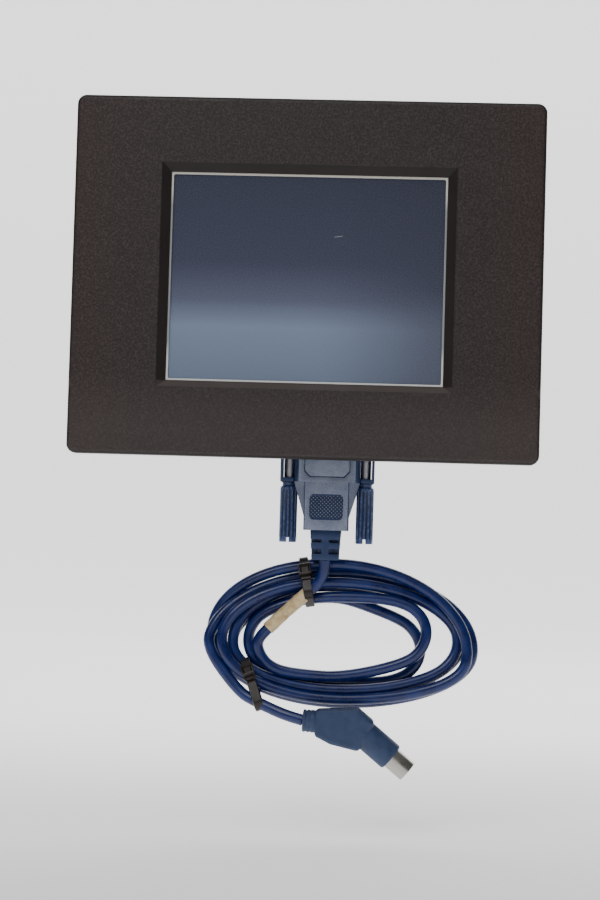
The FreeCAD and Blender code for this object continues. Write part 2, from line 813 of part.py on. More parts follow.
def clamp_bracket(side, level):
    z = level * CLAMP_Z
    x0 = BOX_W / 2 + FIT
    back = CLAMP_FLANGE_Y + CLAMP_FLANGE_T
    sheet = box(x0, x0 + CLAMP_SHEET, CLAMP_FRONT_Y, back, z - CLAMP_HALF, z + CLAMP_HALF)
    arm = box(x0, CLAMP_X + 5.0, CLAMP_FLANGE_Y, back, z - CLAMP_HALF, z + CLAMP_HALF)
    arm = rounded(arm, 1.0, V(0, 1, 0))
    hook = box(83.0, x0, HOOK_Y, HOOK_Y + 1.5, z - HOOK_HALF, z + HOOK_HALF)
    lip = box(83.0, 84.3, HOOK_Y, HOOK_Y + 6.5, z - HOOK_HALF, z + HOOK_HALF)
    web = prism_z(
        [(x0, back - 16), (x0 + 7, CLAMP_FLANGE_Y), (x0, CLAMP_FLANGE_Y)], z - 6.9, z - 5.7
    )
    webs = [web, web.translated(V(0, 0, 12.6))]
    bore = rod_y(CLAMP_BORE_R, CLAMP_FLANGE_Y, back, CLAMP_X, z)
    return mirrored(fused([sheet, arm, hook, lip] + webs).cut(bore), side)


def clamp_brackets():
    return Part.Compound([clamp_bracket(side, level) for side, level in CLAMP_NAMES.values()])


def clamp_screw(side, level):
    z = level * CLAMP_Z
    tip = FOOT_Y + FOOT_FLOOR + FIT
    shank = rod_y(CLAMP_SCREW_R, tip, CLAMP_SCREW_END_Y, CLAMP_X, z)
    head = rod_y(3.6, CLAMP_SCREW_END_Y, CLAMP_SCREW_END_Y + 3.2, CLAMP_X, z)
    end = CLAMP_SCREW_END_Y + 3.2
    slot = box(CLAMP_X - 4, CLAMP_X + 4, end - 1.4, end, z - 0.5, z + 0.5)
    return mirrored(fused([shank, head]).cut(slot), side)


def clamp_foot(side, level):
    z = level * CLAMP_Z
    pad = rod_y(FOOT_R, FOOT_Y, FOOT_Y + FOOT_T, CLAMP_X, z)
    pad = pad.makeFillet(0.6, [e for e in pad.Edges if abs(e.BoundBox.YMax - FOOT_Y) < 1e-6])
    socket = rod_y(CLAMP_BORE_R, FOOT_Y + FOOT_FLOOR, FOOT_Y + FOOT_T, CLAMP_X, z)
    return mirrored(pad.cut(socket), side)


# ---------------------------------------------------------------- cable plug

def plug_shell():
    """Pressed flange and D-shaped shell that slips over the port's own shell."""
    half_w = PORT15_FLANGE_W / 2
    half_y = D_FLANGE_H / 2
    flange = box(
        PORT15_X - half_w,
        PORT15_X + half_w,
        PORT_Y - half_y,
        PORT_Y + half_y,
        HOOD_TOP_Z,
        SEAT_Z,
    )
    flange = rounded(flange, 1.5, V(0, 0, 1))
    opening = d_block(25.25, 8.36, 2.5, HOOD_TOP_Z, SEAT_Z, PORT15_X)
    holes = [rod_z(1.7, HOOD_TOP_Z, SEAT_Z, x, PORT_Y) for x in JACKS[:2]]
    tube = d_tube(26.05, 9.16, 2.9, 0.4, HOOD_TOP_Z, SEAT_Z + 5.8, PORT15_X)
    return fused([flange.cut([opening] + holes), tube])


def plug_insert():
    block = d_block(24.9, 8.0, 2.3, HOOD_TOP_Z - 3.0, SEAT_Z + 0.8, PORT15_X)
    holes = [
        rod_z(PIN_R + 0.02, HOOD_TOP_Z - 3.0, SEAT_Z + 0.8, x, y)
        for x, y in contact_places(15, PORT15_X)
    ]
    return block.cut(holes)


def plug_pins():
    pins = []
    for x, y in contact_places(15, PORT15_X):
        tip = Part.makeCone(PIN_R, PIN_R / 2, 0.6, V(x, y, SEAT_Z + 5.0))
        pins.append(fused([rod_z(PIN_R, HOOD_TOP_Z - 3.0, SEAT_Z + 5.0, x, y), tip]))
    return Part.Compound(pins)


def panel_outline(inset):
    """The raised panel near the hood's top, its lower corners cut off."""
    half = PANEL_HALF - inset
    top = HOOD_TOP_Z - 1 - inset
    low = PANEL_BOTTOM_Z + inset
    return [
        (PORT15_X - half, top),
        (PORT15_X + half, top),
        (PORT15_X + half, low + PANEL_CORNER),
        (PORT15_X + half - PANEL_CORNER, low),
        (PORT15_X - half + PANEL_CORNER, low),
        (PORT15_X - half, low + PANEL_CORNER),
    ]


def plug_hood():
    """Moulded hood: a broad core with a screw ear on each side, and a narrower body below it."""
    x = PORT15_X
    y0 = PORT_Y - HOOD_T / 2
    y1 = PORT_Y + HOOD_T / 2
    core = prism_z(
        [
            (x - FACE_HALF, y0),
            (x + FACE_HALF, y0),
            (x + CORE_HALF, y0 + 3.2),
            (x + CORE_HALF, y1 - 3.2),
            (x + FACE_HALF, y1),
            (x - FACE_HALF, y1),
            (x - CORE_HALF, y1 - 3.2),
            (x - CORE_HALF, y0 + 3.2),
        ],
        HOOD_SHOULDER_Z,
        HOOD_TOP_Z,
    )
    neck = box(x - NECK_HALF, x + NECK_HALF, y0, y1, HOOD_BOTTOM_Z, HOOD_SHOULDER_Z)
    neck = rounded(neck, 0.8, V(0, 0, 1))
    pieces = [core, neck]
    for side in (-1, 1):
        ear = box(
            min(x + side * CORE_HALF, x + side * EAR_HALF),
            max(x + side * CORE_HALF, x + side * EAR_HALF),
            PORT_Y - EAR_T / 2,
            PORT_Y + EAR_T / 2,
            HOOD_SHOULDER_Z,
            HOOD_TOP_Z,
        )
        ear = rounded(ear, 0.6, V(0, 0, 1))
        inner = side * CORE_HALF
        outer = side * (EAR_HALF - EAR_WALL)
        window = box(
            x + min(inner, outer),
            x + max(inner, outer),
            PORT_Y - EAR_T / 2,
            PORT_Y + EAR_T / 2,
            HOOD_SHOULDER_Z + EAR_FLOOR,
            HOOD_TOP_Z - 1.0,
        )
        pieces.append(ear.cut(window))
        for web_y in (PORT_Y - 5.4, PORT_Y + 4.1):
            pieces.append(
                prism_y(
                    [
                        (x + side * NECK_HALF, HOOD_SHOULDER_Z),
                        (x + side * CORE_HALF, HOOD_SHOULDER_Z),
                        (x + side * NECK_HALF, HOOD_SHOULDER_Z - GUSSET_DROP),
                    ],
                    web_y,
                    web_y + GUSSET_T,
                )
            )
    hood = fused(pieces)
    recess = FACE_RECESS
    rim = prism_y(panel_outline(0.0), 0, recess)
    inside = prism_y(panel_outline(recess), 0, recess)
    groove = rim.cut(inside)
    tools = [
        groove.translated(V(0, y0, 0)),
        groove.translated(V(0, y1 - recess, 0)),
        d_block(25.3, 8.4, 2.4, HOOD_TOP_Z - 3.2, HOOD_TOP_Z, x),
        rod_z(CABLE_R + 0.05, HOOD_BOTTOM_Z, HOOD_TOP_Z - 10, x, PORT_Y),
    ]
    pad = box(
        x - GRIP_W / 2, x + GRIP_W / 2, 0, recess, GRIP_BOTTOM_Z, GRIP_TOP_Z
    )
    pad = rounded(pad, GRIP_CORNER, V(0, 1, 0))
    tools += [pad.translated(V(0, y0, 0)), pad.translated(V(0, y1 - recess, 0))]
    for jack in JACKS[:2]:
        tools.append(rod_z(SCREW_NECK_R + 0.06, HOOD_SHOULDER_Z, HOOD_TOP_Z, jack, PORT_Y))
        tools.append(rod_z(KNOB_R + 0.3, KNOB_BOTTOM_Z, HOOD_SHOULDER_Z, jack, PORT_Y))
    return hood.cut(tools)


def strain_relief():
    """Tapered relief with slots on each side of a spine, each slot with a web in its middle."""
    x = PORT15_X
    half_y = RELIEF_T / 2
    block = prism_y(
        [
            (x - RELIEF_TOP_HALF, HOOD_BOTTOM_Z),
            (x + RELIEF_TOP_HALF, HOOD_BOTTOM_Z),
            (x + RELIEF_BOTTOM_HALF, RELIEF_BOTTOM_Z),
            (x - RELIEF_BOTTOM_HALF, RELIEF_BOTTOM_Z),
        ],
        PORT_Y - half_y,
        PORT_Y + half_y,
    )
    tools = [rod_z(CABLE_R, RELIEF_BOTTOM_Z, HOOD_BOTTOM_Z, x, PORT_Y)]
    for low, high in RELIEF_SLOTS:
        core = rod_z(RELIEF_CORE_R, low, high, x, PORT_Y)
        for side in (-1, 1):
            near = x + side * RELIEF_SPINE_HALF
            far = x + side * RELIEF_T
            for deep in (-1, 1):
                web = PORT_Y + deep * RELIEF_WEB_HALF
                skin = PORT_Y + deep * RELIEF_T
                band = box(min(near, far), max(near, far), min(web, skin), max(web, skin), low, high)
                tools.append(band.cut(core))
    return block.cut(tools)


def thumbscrew(index):
    """Captive 4-40 thumbscrew: thread, plain neck through the ear, and a fluted knob."""
    x = JACKS[index]
    knob_top = HOOD_SHOULDER_Z - 0.1 - WASHER_T
    thread_base = HOOD_TOP_Z - 1.2
    thread = rod_z(THREAD_R, thread_base, SEAT_Z + SCREW_TIP, x, PORT_Y)
    neck = rod_z(SCREW_NECK_R, knob_top, thread_base, x, PORT_Y)
    collar = rod_z(COLLAR_R, knob_top - COLLAR_T, knob_top, x, PORT_Y)
    knob = rod_z(KNOB_R, KNOB_BOTTOM_Z, knob_top - COLLAR_T, x, PORT_Y)
    tools = []
    for i in range(KNOB_FLUTES):
        turn = 2 * math.pi * i / KNOB_FLUTES
        fx = x + (KNOB_R + 0.15) * math.cos(turn)
        fy = PORT_Y + (KNOB_R + 0.15) * math.sin(turn)
        tools.append(rod_z(FLUTE_R, KNOB_BOTTOM_Z + 2.4, knob_top - 2.6, fx, fy))
    slot_top = KNOB_BOTTOM_Z + 2.0
    tools.append(box(x - 0.6, x + 0.6, PORT_Y - 5, PORT_Y + 5, KNOB_BOTTOM_Z, slot_top))
    return fused([thread, neck, collar, knob]).cut(tools)


def thumb_washer(index):
    x = JACKS[index]
    top = HOOD_SHOULDER_Z - 0.05
    outer = rod_z(3.3, top - WASHER_T, top, x, PORT_Y)
    return outer.cut(rod_z(SCREW_NECK_R + 0.05, top - WASHER_T, top, x, PORT_Y))


# ---------------------------------------------------------------- cable

def cable_path(points):
    """Straight runs joined by tangent arcs: the wire, its length and the arcs' radii."""
    corners = [V(*p) for p in points]
    edges = []
    radii = []
    start = corners[0]
    for before, at, after in zip(corners, corners[1:], corners[2:]):
        run_in = at - before
        run_out = after - at
        half_turn = run_in.getAngle(run_out) / 2
        reach = 0.45 * min(run_in.Length, run_out.Length)
        radii.append(reach / math.tan(half_turn))
        leave = at - run_in.normalize() * reach
        join = at + run_out.normalize() * reach
        inward = ((leave + join) * 0.5 - at).normalize()
        middle = at + inward * (radii[-1] / math.cos(half_turn) - radii[-1])
        edges.append(Part.LineSegment(start, leave).toShape())
        edges.append(Part.Arc(leave, middle, join).toShape())
        start = join
    edges.append(Part.LineSegment(start, corners[-1]).toShape())
    wire = Part.Wire(edges)
    return wire, wire.Length, radii


def tube_along(points, radius, name):
    wire, length, radii = cable_path(points)
    direction = V(*points[1]) - V(*points[0])
    section = Part.Wire([Part.makeCircle(radius, V(*points[0]), direction)])
    tube = wire.makePipeShell([section], True, True)
    expected = math.pi * radius * radius * length
    listed = ", ".join(f"{r:.1f}" for r in radii)
    print(f"{name}: {length:.1f} mm long, radii {listed}")
    print(f"{name}: volume {tube.Volume:.1f} mm3, section times length {expected:.1f} mm3")
    return tube


def cable_lead():
    return tube_along(LEAD_POINTS, CABLE_R, "cable_lead")


def cable_tail():
    return tube_along(TAIL_POINTS, CABLE_R, "cable_tail")


def closed_outline(points, y):
    curve = Part.BSplineCurve()
    curve.interpolate([V(x, y, z) for x, z in points], PeriodicFlag=True)
    return Part.Face(Part.Wire([curve.toShape()]))


def in_coil(shape):
    """Moves a shape made about the origin, upright, into the coil's leaning plane."""
    shape.rotate(V(0, 0, 0), V(1, 0, 0), -COIL_LEAN)
    shape.translate(COIL_CENTRE)
    return shape


def cable_coil():
    deep = V(0, 2 * COIL_HALF_DEPTH, 0)
    solid = closed_outline(COIL_OUTSIDE, -COIL_HALF_DEPTH).extrude(deep)
    hole = closed_outline(COIL_HOLE, -COIL_HALF_DEPTH).extrude(deep)
    return in_coil(solid.cut(hole))


def cable_label():
    """Wrapped marker sleeve on the straight stretch of the lead."""
    start = V(*LEAD_POINTS[3])
    along = (V(*LEAD_POINTS[5]) - start).normalize()
    base = start + along * LABEL_GAP
    outer = Part.makeCylinder(LABEL_R, LABEL_LENGTH, base, along)
    return outer.cut(Part.makeCylinder(CABLE_R + 0.02, LABEL_LENGTH, base, along))


def strap_section(front, back, half_up, grown):
    """The strap's inside, or with it grown its outside, as a rounded block."""
    half_x = TIE_WIDTH / 2
    block = box(-half_x, half_x, -front - grown, back + grown, -half_up - grown, half_up + grown)
    return rounded(block, TIE_CORNER + grown, V(1, 0, 0))


def cable_tie(tie):
    front = tie["front"]
    back = COIL_HALF_DEPTH + 0.2
    half_up = tie["half_up"]
    band = strap_section(front, back, half_up, TIE_T).cut(strap_section(front, back, half_up, 0))
    half = TIE_HEAD_HALF
    if tie["head"] == "top":
        low = half_up + TIE_T
        head = box(-half, half, -TIE_HEAD_LENGTH / 2, TIE_HEAD_LENGTH / 2, low, low + TIE_HEAD_T)
    else:
        face = -front - TIE_T
        head = box(-half, half, face - TIE_HEAD_T, face, half_up - TIE_HEAD_LENGTH, half_up)
    shape = fused([band, head])
    shape.rotate(V(0, 0, 0), V(0, 1, 0), tie["slant"])
    shape.translate(V(tie["right"], 0, tie["up"]))
    return in_coil(shape)


def cable_ties():
    return Part.Compound([cable_tie(tie) for tie in TIES])


# ---------------------------------------------------------------- round plug

def barrel_axis():
    drop = math.radians(BARREL_DROP)
    return V(math.cos(drop), 0, -math.sin(drop))


BARREL_END = BARREL_START + barrel_axis() * BARREL_LENGTH


def along_barrel(radius, start, length):
    """A cylinder on the barrel's axis; start is measured outwards from the barrel's end."""
    return Part.makeCylinder(radius, length, BARREL_END + barrel_axis() * start, barrel_axis())


def minidin_boot():
    """Moulded angled boot: ribbed tail sleeve, wedge-shaped elbow and round barrel."""
    y0 = BOOT_Y - BOOT_T / 2
    y1 = BOOT_Y + BOOT_T / 2
    elbow = prism_y(ELBOW, y0, y1)
    elbow = elbow.makeFillet(2.0, elbow.Edges)
    lean = V(1, 0, -SLEEVE_LEAN)
    sleeve = Part.makeCone(SLEEVE_END_R, RIB_R, SLEEVE_LENGTH, SLEEVE_START, lean)
    ribs = [Part.makeCylinder(RIB_R, RIB_W, SLEEVE_START + lean * along, lean) for along in RIBS]
    barrel = Part.makeCylinder(BARREL_R, BARREL_LENGTH, BARREL_START, barrel_axis())
    rim = [e for e in barrel.Edges if e.BoundBox.Center.distanceToPoint(BARREL_END) < 1e-3]
    barrel = barrel.makeFillet(1.0, rim)
    mouth = along_barrel(DIN_INSERT_R, -DIN_INSERT_DEPTH, DIN_INSERT_DEPTH)
    return fused([elbow, sleeve, barrel] + ribs).cut(mouth)


def minidin_shell():
    """Plug sleeve that stands on the end of the boot, round the insert."""
    sleeve = along_barrel(DIN_SHELL_R, 0, DIN_SHELL_LENGTH)
    return sleeve.cut(along_barrel(DIN_INSERT_R, 0, DIN_SHELL_LENGTH))


def minidin_insert():
    length = DIN_INSERT_DEPTH + DIN_FACE
    base = along_barrel(DIN_INSERT_R, -DIN_INSERT_DEPTH, length)
    key = box(-1.1, 1.1, -DIN_INSERT_R + 0.6, -DIN_INSERT_R + 2.0, 0, 6.0)
    key.rotate(V(0, 0, 0), V(0, 1, 0), 90 + BARREL_DROP)
    key.translate(BARREL_END + barrel_axis() * DIN_FACE)
    holes = [pin_rod(x, y, DIN_PIN_R + 0.02, -DIN_INSERT_DEPTH, length) for x, y in din_places()]
    return fused([base, key]).cut(holes)


def din_places():
    """Eight contacts in three rows, seen along the barrel's axis."""
    rows = [(2, 1.3, -1.7), (4, 1.55, 0.2), (2, 2.6, 2.1)]
    places = []
    for count, pitch, y in rows:
        places += [((i - (count - 1) / 2) * pitch, y) for i in range(count)]
    return places


def pin_rod(side, y, radius, start, length):
    axis = barrel_axis()
    across = V(axis.z, 0, -axis.x)
    base = BARREL_END + axis * start + across * side + V(0, y, 0)
    return Part.makeCylinder(radius, length, base, axis)


def minidin_pins():
    length = DIN_INSERT_DEPTH + DIN_PIN_REACH
    return Part.Compound([pin_rod(x, y, DIN_PIN_R, -DIN_INSERT_DEPTH, length) for x, y in din_places()])


PIECES = {
    "front_bezel": front_bezel,
    "panel_gasket": panel_gasket,
    "screen_seal": screen_seal,
    "touch_film": touch_film,
    "touch_glass": touch_glass,
    "touch_tail": touch_tail,
    "lcd_frame": lcd_frame,
    "lcd_glass": lcd_glass,
    "light_guide": light_guide,
    "backlight_lamps": backlight_lamps,
    "lcd_tray": lcd_tray,
    "display_plate": display_plate,
    "main_board": main_board,
    "board_chips": board_chips,
    "board_capacitors": board_capacitors,
    "coin_cell": coin_cell,
    "inverter_board": inverter_board,
    "display_ribbon": display_ribbon,
    "chassis_screws": chassis_screws,
    "rear_cover": rear_cover,
    "cover_screws": cover_screws,
    "rating_plate": rating_plate,
    "port15_shell": port15_shell,
    "port15_insulator": port15_insulator,
    "port9_shell": port9_shell,
    "port9_insulator": port9_insulator,
    "jack_sockets": jack_sockets,
    "power_header": power_header,
    "power_plug": power_plug,
    "clamp_brackets": clamp_brackets,
    "plug_hood": plug_hood,
    "plug_shell": plug_shell,
    "plug_insert": plug_insert,
    "plug_pins": plug_pins,
    "strain_relief": strain_relief,
    "cable_lead": cable_lead,
    "cable_coil": cable_coil,
    "cable_tail": cable_tail,
    "cable_label": cable_label,
    "cable_ties": cable_ties,
    "minidin_boot": minidin_boot,
    "minidin_shell": minidin_shell,
    "minidin_insert": minidin_insert,
    "minidin_pins": minidin_pins,
}


def export(name, shape):
    shape.exportStep(f"parts/{name}.step")


os.makedirs("parts", exist_ok=True)
for name, make in PIECES.items():
    export(name, make())
for index in range(POWER_WAYS):
    export(f"terminal_screw_{index + 1}", terminal_screw(index))
for name, (side, level) in CLAMP_NAMES.items():
    export(f"clamp_screw_{name}", clamp_screw(side, level))
    export(f"clamp_foot_{name}", clamp_foot(side, level))
for index, name in enumerate(("left", "right")):
    export(f"thumbscrew_{name}", thumbscrew(index))
    export(f"thumb_washer_{name}", thumb_washer(index))
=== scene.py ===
"""Looks of the touch panel and its coiled cable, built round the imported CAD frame."""

import json
import math

import bmesh
import bpy
import numpy as np
from mathutils import Matrix, Vector


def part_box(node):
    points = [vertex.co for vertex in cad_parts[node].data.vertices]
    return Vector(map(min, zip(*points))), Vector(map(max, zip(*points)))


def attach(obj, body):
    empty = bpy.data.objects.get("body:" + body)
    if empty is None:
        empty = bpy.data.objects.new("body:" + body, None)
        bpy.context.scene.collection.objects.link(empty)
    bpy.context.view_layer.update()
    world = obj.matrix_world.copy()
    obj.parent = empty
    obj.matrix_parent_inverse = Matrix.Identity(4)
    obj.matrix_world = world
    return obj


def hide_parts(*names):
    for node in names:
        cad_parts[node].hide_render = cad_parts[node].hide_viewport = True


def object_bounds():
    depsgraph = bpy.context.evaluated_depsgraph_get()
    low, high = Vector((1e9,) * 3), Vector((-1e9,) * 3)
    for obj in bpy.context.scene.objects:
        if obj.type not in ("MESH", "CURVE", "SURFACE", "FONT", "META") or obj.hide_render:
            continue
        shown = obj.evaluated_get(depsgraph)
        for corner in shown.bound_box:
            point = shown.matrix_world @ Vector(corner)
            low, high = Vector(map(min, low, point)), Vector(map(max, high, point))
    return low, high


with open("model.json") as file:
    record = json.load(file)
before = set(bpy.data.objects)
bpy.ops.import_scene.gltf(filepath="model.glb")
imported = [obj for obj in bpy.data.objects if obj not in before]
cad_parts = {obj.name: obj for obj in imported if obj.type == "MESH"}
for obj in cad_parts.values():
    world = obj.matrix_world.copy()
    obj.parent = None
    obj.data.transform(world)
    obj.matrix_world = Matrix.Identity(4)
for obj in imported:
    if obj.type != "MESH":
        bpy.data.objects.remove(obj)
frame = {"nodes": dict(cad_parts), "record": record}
cad_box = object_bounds()

MM = 0.001
NODES = frame["nodes"]
BODIES = frame["record"]["behaviour"]["bodies"]
BODY_OF = {node: body for body, nodes in BODIES.items() for node in nodes}
SLOT_OF = {part["node"]: part["material_slot"] for part in frame["record"]["subparts"]}


# ---------------------------------------------------------------- camera

CAMERA_AT = (0.0352, -0.8618, -0.1097)
CAMERA_YAW = math.radians(2.4)
CAMERA_PITCH = math.radians(2.44)
CAMERA_ROLL = math.radians(1.68)
CAMERA_LENS = 80.84


def add_camera():
    data = bpy.data.cameras.new("view_camera")
    data.lens = CAMERA_LENS
    camera = bpy.data.objects.new("view_camera", data)
    turn = Matrix.Rotation(CAMERA_YAW, 4, "Z")
    turn @= Matrix.Rotation(math.pi / 2 + CAMERA_PITCH, 4, "X")
    turn @= Matrix.Rotation(CAMERA_ROLL, 4, "Z")
    camera.matrix_world = Matrix.Translation(CAMERA_AT) @ turn
    bpy.context.scene.collection.objects.link(camera)
    bpy.context.scene.camera = camera


add_camera()


# ---------------------------------------------------------------- the cable's route

CABLE_R = 2.45 * MM

# Route where the cable is not coiled, as the CAD tubes have it
LEAD_POINTS = [
    (0.0106, 0.0205, -0.1198),
    (0.0106, 0.0209, -0.1246),
    (0.0082, 0.0216, -0.1296),
    (0.0036, 0.0220, -0.1340),
    (-0.0045, 0.0218, -0.1414),
    (-0.0124, 0.0212, -0.1491),
    (-0.0183, 0.0208, -0.1556),
    (-0.0214, 0.0214, -0.1630),
]
TAIL_POINTS = [
    (-0.0254, 0.0184, -0.1780),
    (-0.0174, 0.0156, -0.1818),
    (-0.0094, 0.0128, -0.1850),
    (-0.0026, 0.0108, -0.1873),
    (0.0031, 0.0100, -0.1886),
]

# The coil hangs in a plane that leans back at its top
COIL_LEAN = Matrix.Rotation(math.radians(-8), 3, "X")
COIL_CENTRE = Vector((0.0173, 0.0265, -0.1552))
COIL_HALF_DEPTH = 8.0 * MM
FRONT = -2.7
BACK = 2.7

# Each turn in mm at its left, bottom, right and top: reach from the centre, rise above it, depth.
# The turns lie close where the ties hold them and fan out at the right, where nothing does.
TURNS = [
    ((41.5, -8, -3.6), (16.0, 0, FRONT), (66.0, 11, -5.4), (20.6, 0, FRONT)),
    ((43.6, 0, BACK), (17.5, 0, BACK), (62.0, -9, BACK), (20.8, 0, BACK)),
    ((49.0, 0, BACK), (22.5, 0, BACK), (57.0, 6, 4.6), (25.7, 0, BACK)),
    ((46.8, -2, FRONT), (21.2, 0, FRONT), (55.0, 0, -0.6), (25.6, 0, FRONT)),
    ((52.2, -1, FRONT), (26.4, 0, FRONT), (57.0, -9, FRONT), (30.4, 0, FRONT)),
    ((55.0, 0, BACK), (27.6, 0, BACK), (58.6, -4, BACK), (30.4, 0, BACK)),
]
LAST_LEFT = (-58.0, FRONT, -4.0)
# Quarters that run nearly straight, by their number along the coil, and how straight each is
STRAIGHTNESS = {1: 0.5, 6: 0.7}
POINTS_PER_QUARTER = 5
# The lead joins the first turn this many points after its left
SKIPPED_POINTS = 2
SETTLE_ROUNDS = 300
PUSH_SHARE = 0.8
SMOOTHING = 0.25
TIGHTEST_TURN = 12 * MM
STRAND_GAP = 2.04 * CABLE_R
# Runs of the line this near to each other along it may touch
NEIGHBOUR_RUNS = 8


def from_coil(point):
    """A point given as right, depth and up in the coil's own plane, in the row frame."""
    return COIL_LEAN @ Vector(point) + COIL_CENTRE


def to_coil(point):
    """A point of the row frame, as right, depth and up in the coil's own plane."""
    return COIL_LEAN.transposed() @ (Vector(point) - COIL_CENTRE)


def turn_points():
    """Quarter ellipses from each turn's left to its bottom, right and top, and on to the next turn."""
    stations = []
    for left, bottom, right, top in TURNS:
        stations.append((-left[0], left[2], left[1]))
        stations.append((0, bottom[2], -bottom[0]))
        stations.append((right[0], right[2], right[1]))
        stations.append((0, top[2], top[0]))
    stations.append(LAST_LEFT)
    points = []
    for index, (here, there) in enumerate(zip(stations, stations[1:])):
        leaves_a_side = index % 2 == 0
        for step in range(POINTS_PER_QUARTER):
            share = step / POINTS_PER_QUARTER
            rising = math.sin(share * math.pi / 2)
            falling = math.cos(share * math.pi / 2)
            ease = share * share * (3 - 2 * share)
            right = here[0] * falling + there[0] * rising
            depth = here[1] + (there[1] - here[1]) * ease
            if leaves_a_side:
                up = here[2] * (1 - rising) + there[2] * rising
            else:
                up = here[2] * falling + there[2] * (1 - falling)
            straight = STRAIGHTNESS.get(index, 0)
            right += straight * (here[0] + (there[0] - here[0]) * share - right)
            up += straight * (here[2] + (there[2] - here[2]) * share - up)
            points.append((right, depth, up))
    points.append(LAST_LEFT)
    return np.array(points[SKIPPED_POINTS:]) * MM


def on_the_curve(points):
    """Where a quadratic B-spline passes each control point, and half way to the next."""
    line = np.empty((2 * len(points) - 1, 3))
    line[0] = points[0]
    line[-1] = points[-1]
    line[2:-1:2] = (points[:-2] + 6 * points[1:-1] + points[2:]) / 8
    line[1::2] = (points[:-1] + points[1:]) / 2
    return line


def strand_gaps(line):
    """For each two runs of the line: the shortest way between them, its length and its start's share."""
    start = line[:-1]
    run = line[1:] - start
    apart = start[:, None] - start[None]
    length_a = (run * run).sum(-1)[:, None]
    length_b = (run * run).sum(-1)[None]
    along = run @ run.T
    lead_a = (run[:, None] * apart).sum(-1)
    lead_b = (run[None] * apart).sum(-1)
    spread = np.maximum(length_a * length_b - along * along, 1e-18)
    share_a = np.clip((along * lead_b - lead_a * length_b) / spread, 0, 1)
    share_b = np.clip((along * share_a + lead_b) / length_b, 0, 1)
    share_a = np.clip((along * share_b - lead_a) / length_a, 0, 1)
    way = apart + run[:, None] * share_a[..., None] - run[None] * share_b[..., None]
    gap = np.linalg.norm(way, axis=-1)
    number = np.arange(len(start))
    gap[np.abs(number[:, None] - number[None]) <= NEIGHBOUR_RUNS] = 1.0
    return way, gap, share_a


def pushed_apart(points):
    """How far each control point has to move so that no strand lies in another."""
    line = on_the_curve(points)
    way, gap, share = strand_gaps(line)
    close = gap < STRAND_GAP
    push = np.where(close, (STRAND_GAP - gap) / 2, 0) / np.maximum(gap, 1e-9)
    moves = way * push[..., None]
    total = np.zeros_like(line)
    count = np.zeros(len(line))
    for first, weight in ((0, 1 - share), (1, share)):
        ends = slice(first, len(line) - 1 + first)
        total[ends] += (moves * weight[..., None]).sum(1)
        count[ends] += (weight * close).sum(1)
    total /= np.maximum(count, 1)[:, None]
    moved = total[0::2].copy()
    moved[:-1] += total[1::2] / 2
    moved[1:] += total[1::2] / 2
    return moved


def eased_bends(points):
    """How far each inner point has to move in so that no turn is tighter than it can be."""
    inward = (points[:-2] + points[2:]) / 2 - points[1:-1]
    size = np.maximum(np.linalg.norm(inward, axis=1), 1e-9)
    run = np.linalg.norm(points[2:] - points[:-2], axis=1) / 2
    excess = np.maximum(0, 1 - run * run / (2 * TIGHTEST_TURN) / size)
    return inward * excess[:, None] / 2


def settled(points, held):
    """The strands pushed apart until they lie on and beside each other, inside the coil's depth."""
    shape = points.copy()
    room = COIL_HALF_DEPTH - CABLE_R
    for _ in range(SETTLE_ROUNDS):
        offset = points + PUSH_SHARE * pushed_apart(points) - shape
        offset[held] = 0
        offset[1:-1] += SMOOTHING * ((offset[:-2] + offset[2:]) / 2 - offset[1:-1])
        offset[held] = 0
        points = shape + offset
        bend = eased_bends(points)
        bend[held[1:-1]] = 0
        points[1:-1] += bend
        shape[1:-1] += bend
        points[~held, 1] = np.clip(points[~held, 1], -room, room)
    return points


def cable_points():
    """The whole route in the row frame: the lead, the coil's turns worked out in its plane, the tail."""
    lead = np.array([to_coil(point) for point in LEAD_POINTS])
    tail = np.array([to_coil(point) for point in TAIL_POINTS])
    route = np.concatenate([lead, turn_points(), tail])
    held = np.zeros(len(route), bool)
    held[: len(lead) - 1] = True
    held[-len(tail):] = True
    return [from_coil(point) for point in settled(route, held)]


def nurbs_curve(name, points, radius):
    """A round cord along one NURBS route, or its bare line when the radius is 0."""
    data = bpy.data.curves.new(name, "CURVE")
    data.dimensions = "3D"
    data.bevel_depth = 1 if radius else 0
    data.bevel_resolution = 5
    data.resolution_u = 6
    data.use_fill_caps = True
    spline = data.splines.new("NURBS")
    spline.points.add(len(points) - 1)
    for control, point in zip(spline.points, points):
        control.co = (*point, 1)
        control.radius = radius
    spline.order_u = 3
    spline.use_endpoint_u = True
    piece = bpy.data.objects.new(name, data)
    bpy.context.scene.collection.objects.link(piece)
    return piece


def centreline(points):
    """Points along the route's own spline, as a curve with no bevel gives them."""
    curve = nurbs_curve("route_line", points, 0)
    curve.data.resolution_u = 12
    bpy.context.view_layer.update()
    mesh = bpy.data.meshes.new_from_object(curve)
    line = [vertex.co.copy() for vertex in mesh.vertices]
    bpy.data.objects.remove(curve)
    bpy.data.meshes.remove(mesh)
    return line


def line_length(line):
    return sum((b - a).length for a, b in zip(line, line[1:]))


ROUTE = cable_points()
ROUTE_LINE = centreline(ROUTE)
cable = nurbs_curve("blue_cable", ROUTE, CABLE_R)
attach(cable, "cable_plug")
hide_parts("cable_lead", "cable_coil", "cable_tail")


# ---------------------------------------------------------------- materials

